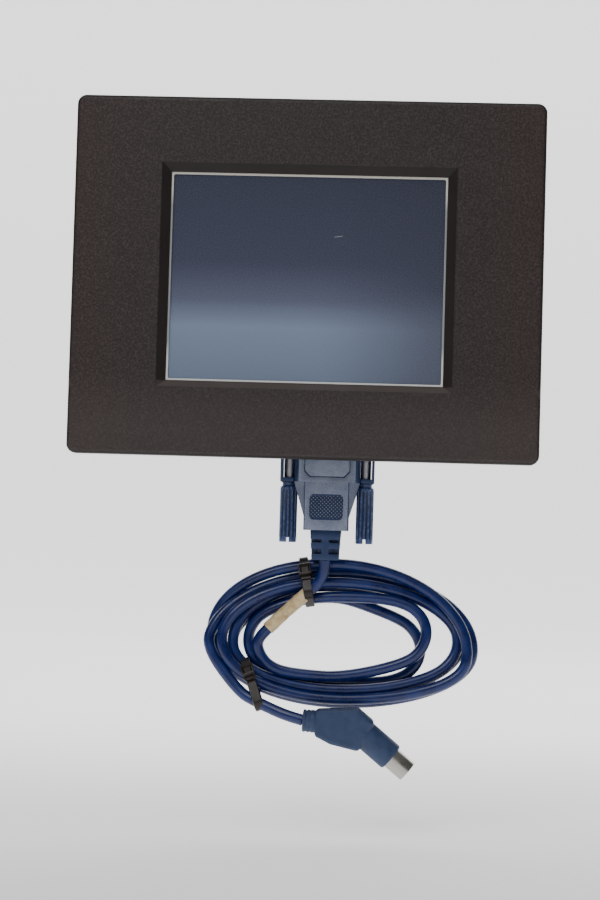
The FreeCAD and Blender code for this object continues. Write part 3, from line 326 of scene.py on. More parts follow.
class Shader:
    """A material's node tree, with short calls for the nodes used here."""

    def __init__(self, name):
        self.material = bpy.data.materials.new(name)
        self.material.use_nodes = True
        self.tree = self.material.node_tree
        self.surface = self.tree.nodes["Principled BSDF"]
        self.place = self.node("ShaderNodeTexCoord").outputs["Object"]

    def node(self, kind, **settings):
        made = self.tree.nodes.new(kind)
        for key, value in settings.items():
            setattr(made, key, value)
        return made

    def feed(self, socket, value):
        """Gives a socket a number, a colour or another node's output."""
        if isinstance(value, bpy.types.NodeSocket):
            self.tree.links.new(value, socket)
        elif hasattr(value, "__len__") and len(value) == 3 and socket.type == "RGBA":
            socket.default_value = (*value, 1)
        else:
            socket.default_value = value

    def noise(self, size, detail=4, stretch=None):
        """Noise between 0 and 1 with blotches of about that size in metres."""
        texture = self.node("ShaderNodeTexNoise")
        texture.inputs["Scale"].default_value = 1 / size
        texture.inputs["Detail"].default_value = detail
        self.feed(texture.inputs["Vector"], self.stretched(stretch))
        return texture.outputs["Fac"]

    def cells(self, size, feature="SMOOTH_F1"):
        """Distance to the nearest of points scattered about that far apart in metres."""
        texture = self.node("ShaderNodeTexVoronoi", feature=feature)
        texture.inputs["Scale"].default_value = 1 / size
        self.feed(texture.inputs["Vector"], self.place)
        return texture.outputs["Distance"]

    def stretched(self, factors):
        """The place on the object, with each axis scaled by its factor."""
        if factors is None:
            return self.place
        mapping = self.node("ShaderNodeMapping")
        mapping.inputs["Scale"].default_value = factors
        self.feed(mapping.inputs["Vector"], self.place)
        return mapping.outputs["Vector"]

    def axis(self, name):
        """One coordinate of the place on the object, in metres."""
        split = self.node("ShaderNodeSeparateXYZ")
        self.feed(split.inputs[0], self.place)
        return split.outputs[name]

    def maths(self, operation, first, second=0.0, third=0.0):
        made = self.node("ShaderNodeMath", operation=operation)
        for socket, value in zip(made.inputs, (first, second, third)):
            self.feed(socket, value)
        return made.outputs[0]

    def between(self, value, low, high, start=0.0, end=1.0):
        """value's way from low to high, as a number from start to end."""
        made = self.node("ShaderNodeMapRange", interpolation_type="SMOOTHSTEP")
        for socket, given in zip(made.inputs, (value, low, high, start, end)):
            self.feed(socket, given)
        return made.outputs["Result"]

    def mixed(self, share, first, second):
        made = self.node("ShaderNodeMix", data_type="RGBA")
        self.feed(made.inputs["Factor"], share)
        self.feed(made.inputs["A"], first)
        self.feed(made.inputs["B"], second)
        return made.outputs["Result"]

    def ramp(self, share, stops):
        made = self.node("ShaderNodeValToRGB")
        elements = made.color_ramp.elements
        while len(elements) < len(stops):
            elements.new(0.5)
        for element, (position, colour) in zip(elements, stops):
            element.position = position
            element.color = (*colour, 1)
        self.feed(made.inputs["Fac"], share)
        return made.outputs["Color"]

    def bump(self, height, depth):
        """Raises the surface by up to depth metres."""
        made = self.node("ShaderNodeBump")
        made.inputs["Distance"].default_value = depth
        self.feed(made.inputs["Height"], height)
        return made.outputs["Normal"]

    def finish(self, colour, roughness, normal=None, **constants):
        """Joins the surface up; constants are further inputs, named in lower case."""
        self.feed(self.surface.inputs["Base Color"], colour)
        self.feed(self.surface.inputs["Roughness"], roughness)
        if normal is not None:
            self.feed(self.surface.inputs["Normal"], normal)
        for name, value in constants.items():
            self.feed(self.surface.inputs[name.replace("_", " ").title().replace("Ior", "IOR")], value)
        return self.material


def srgb(red, green, blue):
    """A screen colour, 0 to 255, as the linear colour that a shader takes."""
    return tuple(
        level / 12.92 if level <= 0.04045 else ((level + 0.055) / 1.055) ** 2.4
        for level in (red / 255, green / 255, blue / 255)
    )


def grained(name, dark, light, roughness, grain, depth):
    """Moulded plastic, rubber or film: two near tones, a fine grain and uneven gloss."""
    shader = Shader(name)
    blotches = shader.noise(6 * MM)
    fine = shader.noise(grain, detail=6)
    share = shader.maths("MULTIPLY_ADD", fine, 0.5, shader.maths("MULTIPLY", blotches, 0.5))
    tone = shader.mixed(share, dark, light)
    gloss = shader.between(blotches, 0.3, 0.7, roughness - 0.06, roughness + 0.06)
    return shader.finish(tone, gloss, shader.bump(fine, depth))


def brushed(name, dark, light, roughness, stretch):
    """Rolled or turned metal with fine lines along one axis."""
    shader = Shader(name)
    lines = shader.noise(0.25 * MM, detail=3, stretch=stretch)
    clouds = shader.noise(9 * MM)
    share = shader.maths("MULTIPLY_ADD", lines, 0.6, shader.maths("MULTIPLY", clouds, 0.4))
    tone = shader.mixed(share, dark, light)
    gloss = shader.between(clouds, 0.25, 0.75, roughness - 0.08, roughness + 0.1)
    return shader.finish(tone, gloss, shader.bump(lines, 0.01 * MM), metallic=1.0)


def bezel_plastic():
    """Brown-black moulding: leather-like on its face, without grain on its bevels, with painted shade
    darkening the bevels and painted light on the lower bevel and the face's lower part.
    """
    shader = Shader("bezel_plastic")
    low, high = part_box("front_bezel")
    off_face = shader.between(shader.axis("Y"), low.y + 0.1 * MM, low.y + 0.4 * MM)
    on_face = shader.maths("SUBTRACT", 1.0, off_face)
    pebble = shader.cells(0.8 * MM)
    wrinkle = shader.noise(0.7 * MM, detail=2)
    height = shader.maths("MULTIPLY_ADD", pebble, 0.6, shader.maths("MULTIPLY", wrinkle, 0.7))
    texture = shader.bump(shader.maths("MULTIPLY", height, on_face), 0.14 * MM)
    side = shader.maths("ABSOLUTE", shader.maths("DIVIDE", shader.axis("X"), high.x))
    warm = shader.between(side, 0.55, 1.0, 0.0, 0.75)
    relief = shader.between(height, 0.4, 0.95)
    body = shader.mixed(relief, srgb(42, 36, 35), srgb(66, 60, 58))
    red = shader.mixed(relief, srgb(46, 34, 33), srgb(70, 58, 55))
    # Painted light: the face is painted paler towards its lower edge, as light falling there.
    lower_painted_light = shader.between(shader.axis("Z"), low.z + 10 * MM, low.z + 40 * MM, 0.25, 0.0)
    tone = shader.mixed(lower_painted_light, shader.mixed(warm, body, red), srgb(88, 80, 78))
    # Painted shade and light: the bevels and sides off the face are painted darker as shade, and the
    # lower bevel's ledge is painted lighter as light falling on it.
    film_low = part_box("touch_film")[0]
    level = shader.axis("Z")
    above = shader.between(level, film_low.z, film_low.z + 1 * MM)
    below = shader.between(level, film_low.z + 4 * MM, film_low.z + 5 * MM, 1.0, 0.0)
    ledge_painted_light = shader.maths("MULTIPLY", above, below)
    bevel_shade_and_ledge_light = shader.mixed(ledge_painted_light, srgb(34, 27, 26), srgb(70, 60, 57))
    tone = shader.mixed(off_face, tone, bevel_shade_and_ledge_light)
    gloss = shader.between(shader.noise(14 * MM), 0.3, 0.7, 0.46, 0.58)
    return shader.finish(tone, gloss, texture, specular_ior_level=0.35)


def screen_film():
    """Dark slate screen with a painted reflection that grows paler towards its lower edge and darker to
    the right, with dusty specks and one short scratch.
    """
    shader = Shader("touch_film")
    low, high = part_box("screen_seal")
    height = shader.between(shader.axis("Z"), low.z, high.z)
    across = shader.between(shader.axis("X"), 0.0, high.x)
    # Painted reflection: the left and right ramps paint the light reflected in the film, paler low down
    # and darker to the right.
    left = shader.ramp(height, [
        (0.0, srgb(121, 136, 159)),
        (0.2, srgb(132, 147, 172)),
        (0.36, srgb(96, 102, 124)),
        (0.6, srgb(70, 74, 93)),
        (1.0, srgb(63, 67, 84)),
    ])
    right = shader.ramp(height, [
        (0.0, srgb(92, 98, 116)),
        (0.2, srgb(94, 100, 118)),
        (0.45, srgb(69, 73, 90)),
        (1.0, srgb(61, 64, 80)),
    ])
    tone = shader.mixed(across, left, right)
    grain = shader.noise(0.5 * MM, detail=4)
    tone = shader.mixed(shader.between(grain, 0.3, 0.7, 0.0, 0.2), tone, srgb(70, 74, 90))
    speck = shader.between(shader.cells(7 * MM, feature="F1"), 0.015, 0.03, 0.3, 0.0)
    tone = shader.mixed(speck, tone, srgb(190, 195, 200))
    scratch_x = 13.0 * MM
    scratch_z = 18.6 * MM
    scratch_slope = 0.15
    along = shader.maths("SUBTRACT", shader.axis("X"), scratch_x)
    line = shader.maths("MULTIPLY_ADD", along, scratch_slope, scratch_z)
    off_line = shader.maths("ABSOLUTE", shader.maths("SUBTRACT", shader.axis("Z"), line))
    near = shader.between(off_line, 0.05 * MM, 0.15 * MM, 0.8, 0.0)
    within = shader.between(shader.maths("ABSOLUTE", along), 1.4 * MM, 2.0 * MM, 1.0, 0.0)
    tone = shader.mixed(shader.maths("MULTIPLY", near, within), tone, srgb(205, 208, 210))
    gloss = shader.between(grain, 0.3, 0.7, 0.24, 0.3)
    return shader.finish(tone, gloss, shader.bump(grain, 0.004 * MM), specular_ior_level=0.4)


def seal_foam():
    """Pale seal round the screen: cream at the top, white at the bottom, greyer at the sides."""
    shader = Shader("seal_foam")
    low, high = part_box("screen_seal")
    height = shader.between(shader.axis("Z"), low.z, high.z)
    tone = shader.ramp(height, [
        (0.0, srgb(242, 242, 240)),
        (0.06, srgb(230, 230, 228)),
        (0.12, srgb(160, 163, 166)),
        (0.9, srgb(150, 152, 155)),
        (0.96, srgb(225, 222, 212)),
        (1.0, srgb(228, 224, 212)),
    ])
    pores = shader.noise(0.25 * MM, detail=5)
    tone = shader.mixed(shader.between(pores, 0.35, 0.65, 0.0, 0.12), tone, srgb(120, 115, 108))
    return shader.finish(tone, 0.6, shader.bump(pores, 0.03 * MM))


def cable_blue():
    """Glossy soft PVC: deep blue, slightly marked by handling."""
    shader = Shader("cable_blue")
    rub = shader.noise(7 * MM, detail=6)
    fine = shader.noise(0.5 * MM, detail=3)
    tone = shader.mixed(shader.between(rub, 0.35, 0.7), srgb(8, 29, 88), srgb(14, 42, 108))
    gloss = shader.between(rub, 0.3, 0.7, 0.26, 0.4)
    return shader.finish(tone, gloss, shader.bump(fine, 0.015 * MM), coat_weight=0.2, coat_roughness=0.2)


def hood_blue():
    """Deep blue moulding of the plug's sides and its strain relief."""
    shader = Shader("hood_blue")
    cloud = shader.noise(5 * MM)
    spark = shader.noise(0.3 * MM, detail=6)
    tone = shader.mixed(spark, srgb(24, 42, 80), srgb(42, 64, 108))
    gloss = shader.between(cloud, 0.3, 0.7, 0.42, 0.52)
    return shader.finish(tone, gloss, shader.bump(spark, 0.03 * MM))


def hood_face():
    """Spark-eroded broad faces of the plug, painted grey-blue as a sheen of light on them."""
    shader = Shader("hood_face")
    spark = shader.noise(0.35 * MM, detail=6)
    cloud = shader.noise(5 * MM)
    # Painted sheen: the grey-blue tones and the paler blotches stand in for light glancing off the
    # faces.
    tone = shader.mixed(shader.between(spark, 0.35, 0.65), srgb(92, 104, 128), srgb(136, 144, 166))
    tone = shader.mixed(shader.between(cloud, 0.4, 0.7, 0.0, 0.45), tone, srgb(150, 156, 174))
    gloss = shader.between(cloud, 0.3, 0.7, 0.42, 0.52)
    return shader.finish(tone, gloss, shader.bump(spark, 0.05 * MM))


def knob_blue():
    """Glossy dark blue knobs, a little scuffed on their ridges."""
    shader = Shader("knob_blue")
    scuff = shader.noise(1.2 * MM, detail=6)
    tone = shader.mixed(shader.between(scuff, 0.35, 0.7), srgb(50, 68, 114), srgb(86, 104, 148))
    gloss = shader.between(scuff, 0.3, 0.7, 0.28, 0.42)
    return shader.finish(tone, gloss, shader.bump(scuff, 0.02 * MM))


def grip_blue():
    """The grip pads: dark blue between the points, paler on them."""
    shader = Shader("grip_blue")
    low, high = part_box("plug_hood")
    middle = (low.y + high.y) / 2
    half = (high.y - low.y) / 2
    depth = shader.maths("ABSOLUTE", shader.maths("SUBTRACT", shader.axis("Y"), middle))
    # Paler towards the points' tips, darker between them.
    tip_share = shader.between(depth, half - 0.25 * MM, half - 0.1 * MM)
    grease = shader.noise(3 * MM, detail=4)
    tone = shader.mixed(tip_share, srgb(20, 36, 68), srgb(130, 148, 190))
    tone = shader.mixed(shader.between(grease, 0.4, 0.7, 0.0, 0.4), tone, srgb(30, 50, 86))
    gloss = shader.between(grease, 0.3, 0.7, 0.35, 0.5)
    return shader.finish(tone, gloss, shader.bump(grease, 0.01 * MM))


def boot_blue():
    """Matt flexible moulding, faintly cloudy from wear."""
    shader = Shader("boot_blue")
    cloud = shader.noise(4 * MM, detail=5)
    fine = shader.noise(0.3 * MM, detail=4)
    tone = shader.mixed(shader.between(cloud, 0.3, 0.7), srgb(38, 57, 92), srgb(50, 69, 106))
    gloss = shader.between(cloud, 0.3, 0.7, 0.5, 0.62)
    return shader.finish(tone, gloss, shader.bump(fine, 0.03 * MM))


def marker_sleeve():
    """Cream marker sleeve, yellowed and handled, with nothing printed on it."""
    shader = Shader("marker_sleeve")
    stain = shader.noise(3 * MM, detail=6)
    fibre = shader.noise(0.3 * MM, detail=4, stretch=(1, 1, 4))
    tone = shader.mixed(shader.between(stain, 0.4, 0.75), srgb(232, 208, 160), srgb(196, 164, 116))
    return shader.finish(tone, 0.55, shader.bump(fibre, 0.02 * MM))


def circuit_board():
    """Green solder mask over faint copper tracks."""
    shader = Shader("circuit_board")
    tracks = shader.node("ShaderNodeTexBrick")
    tracks.inputs["Scale"].default_value = 90
    tracks.inputs["Mortar Size"].default_value = 0.06
    flat = shader.node("ShaderNodeMapping")
    flat.inputs["Rotation"].default_value = (math.pi / 2, 0, 0)
    shader.feed(flat.inputs["Vector"], shader.place)
    shader.feed(tracks.inputs["Vector"], flat.outputs["Vector"])
    tone = shader.mixed(tracks.outputs["Fac"], srgb(20, 70, 38), srgb(40, 104, 58))
    stain = shader.between(shader.noise(12 * MM), 0.3, 0.7, 0.0, 0.3)
    tone = shader.mixed(stain, tone, srgb(18, 58, 34))
    return shader.finish(tone, 0.35, shader.bump(tracks.outputs["Fac"], 0.02 * MM))


def rating_plate_metal():
    """Blank silver label with a thin printed border."""
    shader = Shader("blank_label")
    low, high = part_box("rating_plate")
    middle = (low + high) / 2
    half = (high - low) / 2
    across = shader.maths("ABSOLUTE", shader.maths("SUBTRACT", shader.axis("X"), middle.x))
    rise = shader.maths("ABSOLUTE", shader.maths("SUBTRACT", shader.axis("Z"), middle.z))
    from_side = shader.maths("SUBTRACT", half.x, across)
    from_end = shader.maths("SUBTRACT", half.z, rise)
    edge = shader.maths("MINIMUM", from_side, from_end)
    border = shader.maths("ABSOLUTE", shader.maths("SUBTRACT", edge, 1.6 * MM))
    line = shader.between(border, 0.15 * MM, 0.3 * MM, 1.0, 0.0)
    grain = shader.noise(0.3 * MM, detail=3, stretch=(0.05, 1, 1))
    tone = shader.mixed(shader.between(grain, 0.3, 0.7), srgb(176, 178, 180), srgb(200, 202, 203))
    tone = shader.mixed(line, tone, srgb(60, 62, 66))
    return shader.finish(tone, 0.38, shader.bump(grain, 0.01 * MM), metallic=0.6)


def clear_plate(name, tint, roughness):
    """Glass or clear plastic inside the display, faintly uneven."""
    shader = Shader(name)
    haze = shader.noise(20 * MM, detail=3)
    tone = shader.mixed(shader.between(haze, 0.3, 0.7), tint, tuple(0.9 * level for level in tint))
    gloss = shader.between(haze, 0.3, 0.7, roughness, roughness + 0.06)
    return shader.finish(tone, gloss, shader.bump(haze, 0.002 * MM), coat_weight=0.5)


# Plastics, rubber and film: dark tone, light tone, roughness, grain and bump in mm
GRAINED = {
    "gasket_rubber": (srgb(28, 28, 29), srgb(48, 47, 47), 0.82, 0.5, 0.12),
    "flex_film": (srgb(150, 88, 30), srgb(190, 122, 48), 0.36, 0.8, 0.01),
    "chip_epoxy": (srgb(24, 24, 26), srgb(40, 40, 42), 0.55, 0.2, 0.02),
    "cover_plastic": (srgb(30, 30, 31), srgb(46, 45, 45), 0.5, 0.5, 0.06),
    "port_plastic": (srgb(22, 22, 24), srgb(36, 36, 38), 0.45, 0.3, 0.02),
    "terminal_green": (srgb(30, 122, 62), srgb(50, 148, 82), 0.42, 0.4, 0.03),
    "tie_nylon": (srgb(26, 20, 18), srgb(44, 35, 31), 0.38, 0.6, 0.03),
    # washer_nylon's dark blue is painted shade between ear and knob; the knobs' flute grooves use it as
    # painted shade too.
    "washer_nylon": (srgb(22, 34, 62), srgb(34, 48, 80), 0.45, 0.5, 0.01),
    "foot_plastic": (srgb(30, 30, 32), srgb(50, 50, 51), 0.5, 0.4, 0.03),
}

# Metals: dark tone, light tone, roughness, how the fine lines are stretched along X, Y and Z
BRUSHED = {
    "tinned_steel": (srgb(150, 151, 150), srgb(196, 197, 195), 0.36, (0.06, 1, 1)),
    "plated_steel": (srgb(132, 134, 138), srgb(182, 184, 188), 0.34, (1, 1, 0.06)),
    "capacitor_can": (srgb(150, 152, 156), srgb(200, 201, 204), 0.3, (1, 0.06, 1)),
    "cell_steel": (srgb(160, 160, 158), srgb(206, 206, 204), 0.26, (0.1, 1, 1)),
    "screw_steel": (srgb(120, 120, 122), srgb(176, 176, 178), 0.32, (1, 0.2, 1)),
    "nickel_shell": (srgb(168, 166, 158), srgb(210, 208, 200), 0.26, (1, 1, 0.08)),
    "nickel_parts": (srgb(172, 172, 178), srgb(214, 214, 220), 0.4, (1, 1, 0.1)),
    "contact_gold": (srgb(196, 150, 62), srgb(232, 190, 104), 0.26, (1, 1, 0.1)),
}

# Glass and clear plastic: tint and roughness
CLEAR = {
    "touch_glass": (srgb(150, 170, 170), 0.06),
    "lcd_glass": (srgb(52, 60, 72), 0.08),
    "light_guide": (srgb(214, 220, 222), 0.12),
    "lamp_glass": (srgb(236, 236, 230), 0.1),
}

MATERIALS = {
    "bezel_plastic": bezel_plastic(),
    "seal_foam": seal_foam(),
    "touch_film": screen_film(),
    "circuit_board": circuit_board(),
    "blank_label": rating_plate_metal(),
    "hood_blue": hood_blue(),
    "hood_face": hood_face(),
    "cable_blue": cable_blue(),
    "marker_sleeve": marker_sleeve(),
    "boot_blue": boot_blue(),
    "knob_blue": knob_blue(),
    "grip_blue": grip_blue(),
}
for slot, (dark, light, roughness, grain, depth) in GRAINED.items():
    MATERIALS[slot] = grained(slot, dark, light, roughness, grain * MM, depth * MM)
for slot, look in BRUSHED.items():
    MATERIALS[slot] = brushed(slot, *look)
for slot, look in CLEAR.items():
    MATERIALS[slot] = clear_plate(slot, *look)


def paint(piece, slot):
    piece.data.materials.clear()
    piece.data.materials.append(MATERIALS[slot])


for node, piece in NODES.items():
    paint(piece, SLOT_OF[node])
paint(cable, "cable_blue")


# ---------------------------------------------------------------- pieces that stand for CAD nodes

def link(name, mesh):
    piece = bpy.data.objects.new(name, mesh)
    bpy.context.scene.collection.objects.link(piece)
    return piece


def stands_for(piece, node):
    """The piece takes the CAD node's place and body."""
    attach(piece, BODY_OF[node])
    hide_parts(node)


def applied(piece):
    """Turns a piece's modifiers into its mesh."""
    bpy.context.view_layer.update()
    graph = bpy.context.evaluated_depsgraph_get()
    mesh = bpy.data.meshes.new_from_object(piece.evaluated_get(graph))
    piece.modifiers.clear()
    piece.data = mesh


def fine_copy(node):
    """A piece with the CAD node's surface as one closed mesh, flat faces whole again."""
    mesh = NODES[node].data.copy()
    mesh.name = node + "_fine"
    work = bmesh.new()
    work.from_mesh(mesh)
    bmesh.ops.remove_doubles(work, verts=work.verts, dist=0.002 * MM)
    flat = math.radians(0.5)
    bmesh.ops.dissolve_limit(work, angle_limit=flat, verts=work.verts, edges=work.edges)
    work.to_mesh(mesh)
    work.free()
    return link(mesh.name, mesh)


def smooth_faces(piece, sharp=40):
    for polygon in piece.data.polygons:
        polygon.use_smooth = True
    piece.data.set_sharp_from_angle(angle=math.radians(sharp))


MOULDED_EDGE = 0.25 * MM


def softened(node):
    """A copy of a CAD node with every sharp edge rounded by a small radius, as moulding leaves it."""
    piece = fine_copy(node)
    paint(piece, SLOT_OF[node])
    bevel = piece.modifiers.new("edges", "BEVEL")
    bevel.width = MOULDED_EDGE
    bevel.segments = 2
    bevel.limit_method = "ANGLE"
    bevel.angle_limit = math.radians(35)
    bevel.harden_normals = False
    applied(piece)
    smooth_faces(piece)
    stands_for(piece, node)
    return piece


def paint_face_sheen(hood):
    """The hood's broad faces and gussets take the painted sheen of hood_face; its sides, ears and
    grooves stay blue.
    """
    low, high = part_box("plug_hood")
    middle = (low.y + high.y) / 2
    # Painted sheen: faces looking out front and back take the grey-blue hood_face finish.
    hood.data.materials.append(MATERIALS["hood_face"])
    for polygon in hood.data.polygons:
        faces_out = abs(polygon.normal.y) > 0.9
        depth = high.y - middle - abs(polygon.center.y - middle)
        on_face = depth < 0.1 * MM
        on_gusset = 1 * MM < depth < 2.5 * MM
        polygon.material_index = int(faces_out and (on_face or on_gusset))


def closed_grid(name, rows):
    """A mesh from rings of points, each ring closed, with a face over the first and the last ring."""
    count = len(rows[0])
    points = [point for row in rows for point in row]
    faces = []
    for row in range(len(rows) - 1):
        for step in range(count):
            after = (step + 1) % count
            here = row * count
            there = here + count
            faces.append((here + step, here + after, there + after, there + step))
    faces.append(tuple(reversed(range(count))))
    faces.append(tuple(range(len(points) - count, len(points))))
    mesh = bpy.data.meshes.new(name)
    mesh.from_pydata(points, [], faces)
    return mesh


# Points round a thumbscrew and along a tie's strap
POINTS_AROUND = 96

# Thumbscrew in mm: radius at each height above the knob's lower end, up to where its thread starts
KNOB_R = 3.8
NECK_R = 2.9
SHANK_R = 2.3
THREAD_R = 1.37
THREAD_START = 44.7
SCREW_PROFILE = [
    (0.0, 3.35), (0.15, 3.65), (0.45, KNOB_R), (2.4, KNOB_R), (2.9, KNOB_R), (22.6, KNOB_R),
    (23.4, KNOB_R), (24.2, 3.62), (24.5, 3.3), (24.6, NECK_R), (25.9, NECK_R), (25.95, SHANK_R),
    (44.4, SHANK_R), (THREAD_START, THREAD_R),
]
STEEL_START = 25.92
THREAD_PITCH = 0.635
ROWS_PER_PITCH = 8
THREAD_HALF_DEPTH = 0.1
SCREW_TIP_R = 0.9
SCREW_TIP_LENGTH = 0.4
FLUTES = 12
FLUTE_LOW = 2.0
FLUTE_HIGH = 23.6
FLUTE_FADE = 0.9
FLUTE_HALF = 0.62
FLUTE_DEPTH = 0.6
SLOT_SIZE = (1.2, 12.0, 4.0)


def screw_profile(length):
    """The thumbscrew's whole profile, with rows close enough for its thread."""
    profile = list(SCREW_PROFILE)
    height = THREAD_START
    while height < length - SCREW_TIP_LENGTH:
        height += THREAD_PITCH / ROWS_PER_PITCH
        profile.append((height, THREAD_R))
    profile.append((length, SCREW_TIP_R))
    return profile


def cut_radius(radius, height, angle, length):
    """The radius once the knob's flutes and the screw's thread are cut."""
    if FLUTE_LOW < height < FLUTE_HIGH:
        step = math.tau / FLUTES
        off = abs((angle % step) - step / 2)
        across = off * radius / FLUTE_HALF
        fade = min(1, (height - FLUTE_LOW) / FLUTE_FADE, (FLUTE_HIGH - height) / FLUTE_FADE)
        return radius - FLUTE_DEPTH * fade * max(0, 1 - across * across) ** 0.5
    if THREAD_START < height < length - SCREW_TIP_LENGTH:
        wave = math.sin(math.tau * height / THREAD_PITCH + angle)
        return radius - THREAD_HALF_DEPTH * (1 + wave)
    return radius


def add_block(work, size, place=(0, 0, 0)):
    """A block of that size with its middle at a place, in mm, as its vertices."""
    corners = bmesh.ops.create_cube(work, size=1)["verts"]
    bmesh.ops.scale(work, verts=corners, vec=Vector(size) * MM)
    bmesh.ops.translate(work, verts=corners, vec=Vector(place) * MM)
    return corners


def cut_slot(piece, place):
    """Cuts the screwdriver slot across the knob's lower end, at a place in metres."""
    mesh = bpy.data.meshes.new("slot")
    work = bmesh.new()
    add_block(work, SLOT_SIZE, Vector(place) / MM)
    work.to_mesh(mesh)
    work.free()
    cutter = link("slot", mesh)
    cut = piece.modifiers.new("slot", "BOOLEAN")
    cut.object = cutter
    cut.solver = "EXACT"
    applied(piece)
    bpy.data.objects.remove(cutter)


def thumbscrew(node):
    """Fluted blue knob with a screwdriver slot, on a plated screw whose thread is really cut."""
    low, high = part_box(node)
    centre = (low + high) / 2
    length = (high.z - low.z) / MM
    rows = []
    for height, radius in screw_profile(length):
        row = []
        for step in range(POINTS_AROUND):
            angle = step / POINTS_AROUND * math.tau
            reach = cut_radius(radius, height, angle, length)
            across = reach * math.cos(angle) * MM
            deep = reach * math.sin(angle) * MM
            row.append((centre.x + across, centre.y + deep, low.z + height * MM))
        rows.append(row)
    piece = link(node + "_fine", closed_grid(node, rows))
    cut_slot(piece, (centre.x, centre.y, low.z))
    paint(piece, "knob_blue")
    piece.data.materials.append(MATERIALS["nickel_parts"])
    piece.data.materials.append(MATERIALS["washer_nylon"])
    for polygon in piece.data.polygons:
        height = (polygon.center.z - low.z) / MM
        radius = math.hypot(polygon.center.x - centre.x, polygon.center.y - centre.y) / MM
        if height > STEEL_START:
            polygon.material_index = 1
        # Painted shade: the flutes' grooves take the darker washer_nylon finish.
        elif FLUTE_LOW < height < FLUTE_HIGH and radius < KNOB_R - FLUTE_DEPTH / 2:
            polygon.material_index = 2
    smooth_faces(piece, sharp=35)
    stands_for(piece, node)


# Grip pads in the plug's hood, in mm, their low and high ends measured from the hood's lower end
PAD_WIDTH = 14.6
PAD_LOW = 4.5
PAD_HIGH = 15.7
PAD_CORNER = 2.0
PAD_RECESS = 0.4
PAD_EDGE = 0.2
PAD_SUNK = 0.1
POINT_STEP = 0.8
POINT_HEIGHT = 0.34
VALLEY_HEIGHT = 0.02


def on_pad(across, up):
    """Whether a place on the pad, from its centre, is inside its rounded outline."""
    over_x = abs(across) - (PAD_WIDTH / 2 - PAD_CORNER)
    over_z = abs(up) - ((PAD_HIGH - PAD_LOW) / 2 - PAD_CORNER)
    return math.hypot(max(over_x, 0), max(over_z, 0)) < PAD_CORNER - PAD_EDGE


def grip_pad(work, face_y, outward):
    """Rows of small points over one recessed pad, as a closed sheet sunk into its floor."""
    low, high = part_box("plug_hood")
    centre_x = (low.x + high.x) / 2
    floor_y = face_y - outward * PAD_RECESS * MM
    centre_z = low.z + (PAD_LOW + PAD_HIGH) / 2 * MM
    centre = Vector((centre_x, floor_y, centre_z))
    columns = int(PAD_WIDTH / 2 / POINT_STEP)
    rows = int((PAD_HIGH - PAD_LOW) / 2 / POINT_STEP)
    knots = {}
    for i in range(-columns, columns + 1):
        for j in range(-rows, rows + 1):
            rise = POINT_HEIGHT if (i + j) % 2 == 0 else VALLEY_HEIGHT
            offset = Vector((i * POINT_STEP, outward * rise, j * POINT_STEP))
            knots[i, j] = work.verts.new(centre + offset * MM)
    faces = []
    for i in range(-columns, columns):
        for j in range(-rows, rows):
            if not on_pad((i + 0.5) * POINT_STEP, (j + 0.5) * POINT_STEP):
                continue
            ring = [knots[i, j], knots[i + 1, j], knots[i + 1, j + 1], knots[i, j + 1]]
            if (i + j) % 2 == 0:
                ring = ring[1:] + ring[:1]
            faces.append(work.faces.new((ring[0], ring[1], ring[2])))
            faces.append(work.faces.new((ring[0], ring[2], ring[3])))
    sunk = bmesh.ops.extrude_face_region(work, geom=faces)["geom"]
    for vertex in sunk:
        if isinstance(vertex, bmesh.types.BMVert):
            vertex.co.y = floor_y - outward * PAD_SUNK * MM


def grip_pads():
    """The pointed grips in the hood's front and back."""
    low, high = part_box("plug_hood")
    work = bmesh.new()
    grip_pad(work, low.y, -1)
    grip_pad(work, high.y, 1)
    unused = [vertex for vertex in work.verts if not vertex.link_faces]
    bmesh.ops.delete(work, geom=unused, context="VERTS")
    bmesh.ops.recalc_face_normals(work, faces=work.faces)
    mesh = bpy.data.meshes.new("grip_pads")
    work.to_mesh(mesh)
    work.free()
    piece = link("grip_pads", mesh)
    paint(piece, "grip_blue")
    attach(piece, "cable_plug")


def moulded_boot():
    """The round plug's boot with every edge melted soft, as flexible moulding has it."""
    piece = fine_copy("minidin_boot")
    remesh = piece.modifiers.new("even", "REMESH")
    remesh.mode = "VOXEL"
    remesh.voxel_size = 0.3 * MM
    soften = piece.modifiers.new("soften", "SMOOTH")
    soften.factor = 0.5
    soften.iterations = 4
    applied(piece)
    paint(piece, "boot_blue")
    smooth_faces(piece, sharp=80)
    stands_for(piece, "minidin_boot")
    return piece


def line_at(line, distance):
    """The point and direction at a distance along a line of points."""
    for here, there in zip(line, line[1:]):
        run = (there - here).length
        if distance <= run:
            return here.lerp(there, distance / run), (there - here).normalized()
        distance -= run
    return line[-1], (line[-1] - line[-2]).normalized()


# The marker sleeve starts a little after this point of the lead
LABEL_FROM = Vector(LEAD_POINTS[3])
LABEL_GAP = 1.0 * MM
LABEL_LENGTH = 23.0 * MM
LABEL_R = 2.8 * MM
LABEL_LIP_R = 1.004 * CABLE_R
LABEL_OVAL = 0.05 * MM
LABEL_CREASE = 0.04 * MM
LABEL_ROWS = 46
LABEL_AROUND = 40


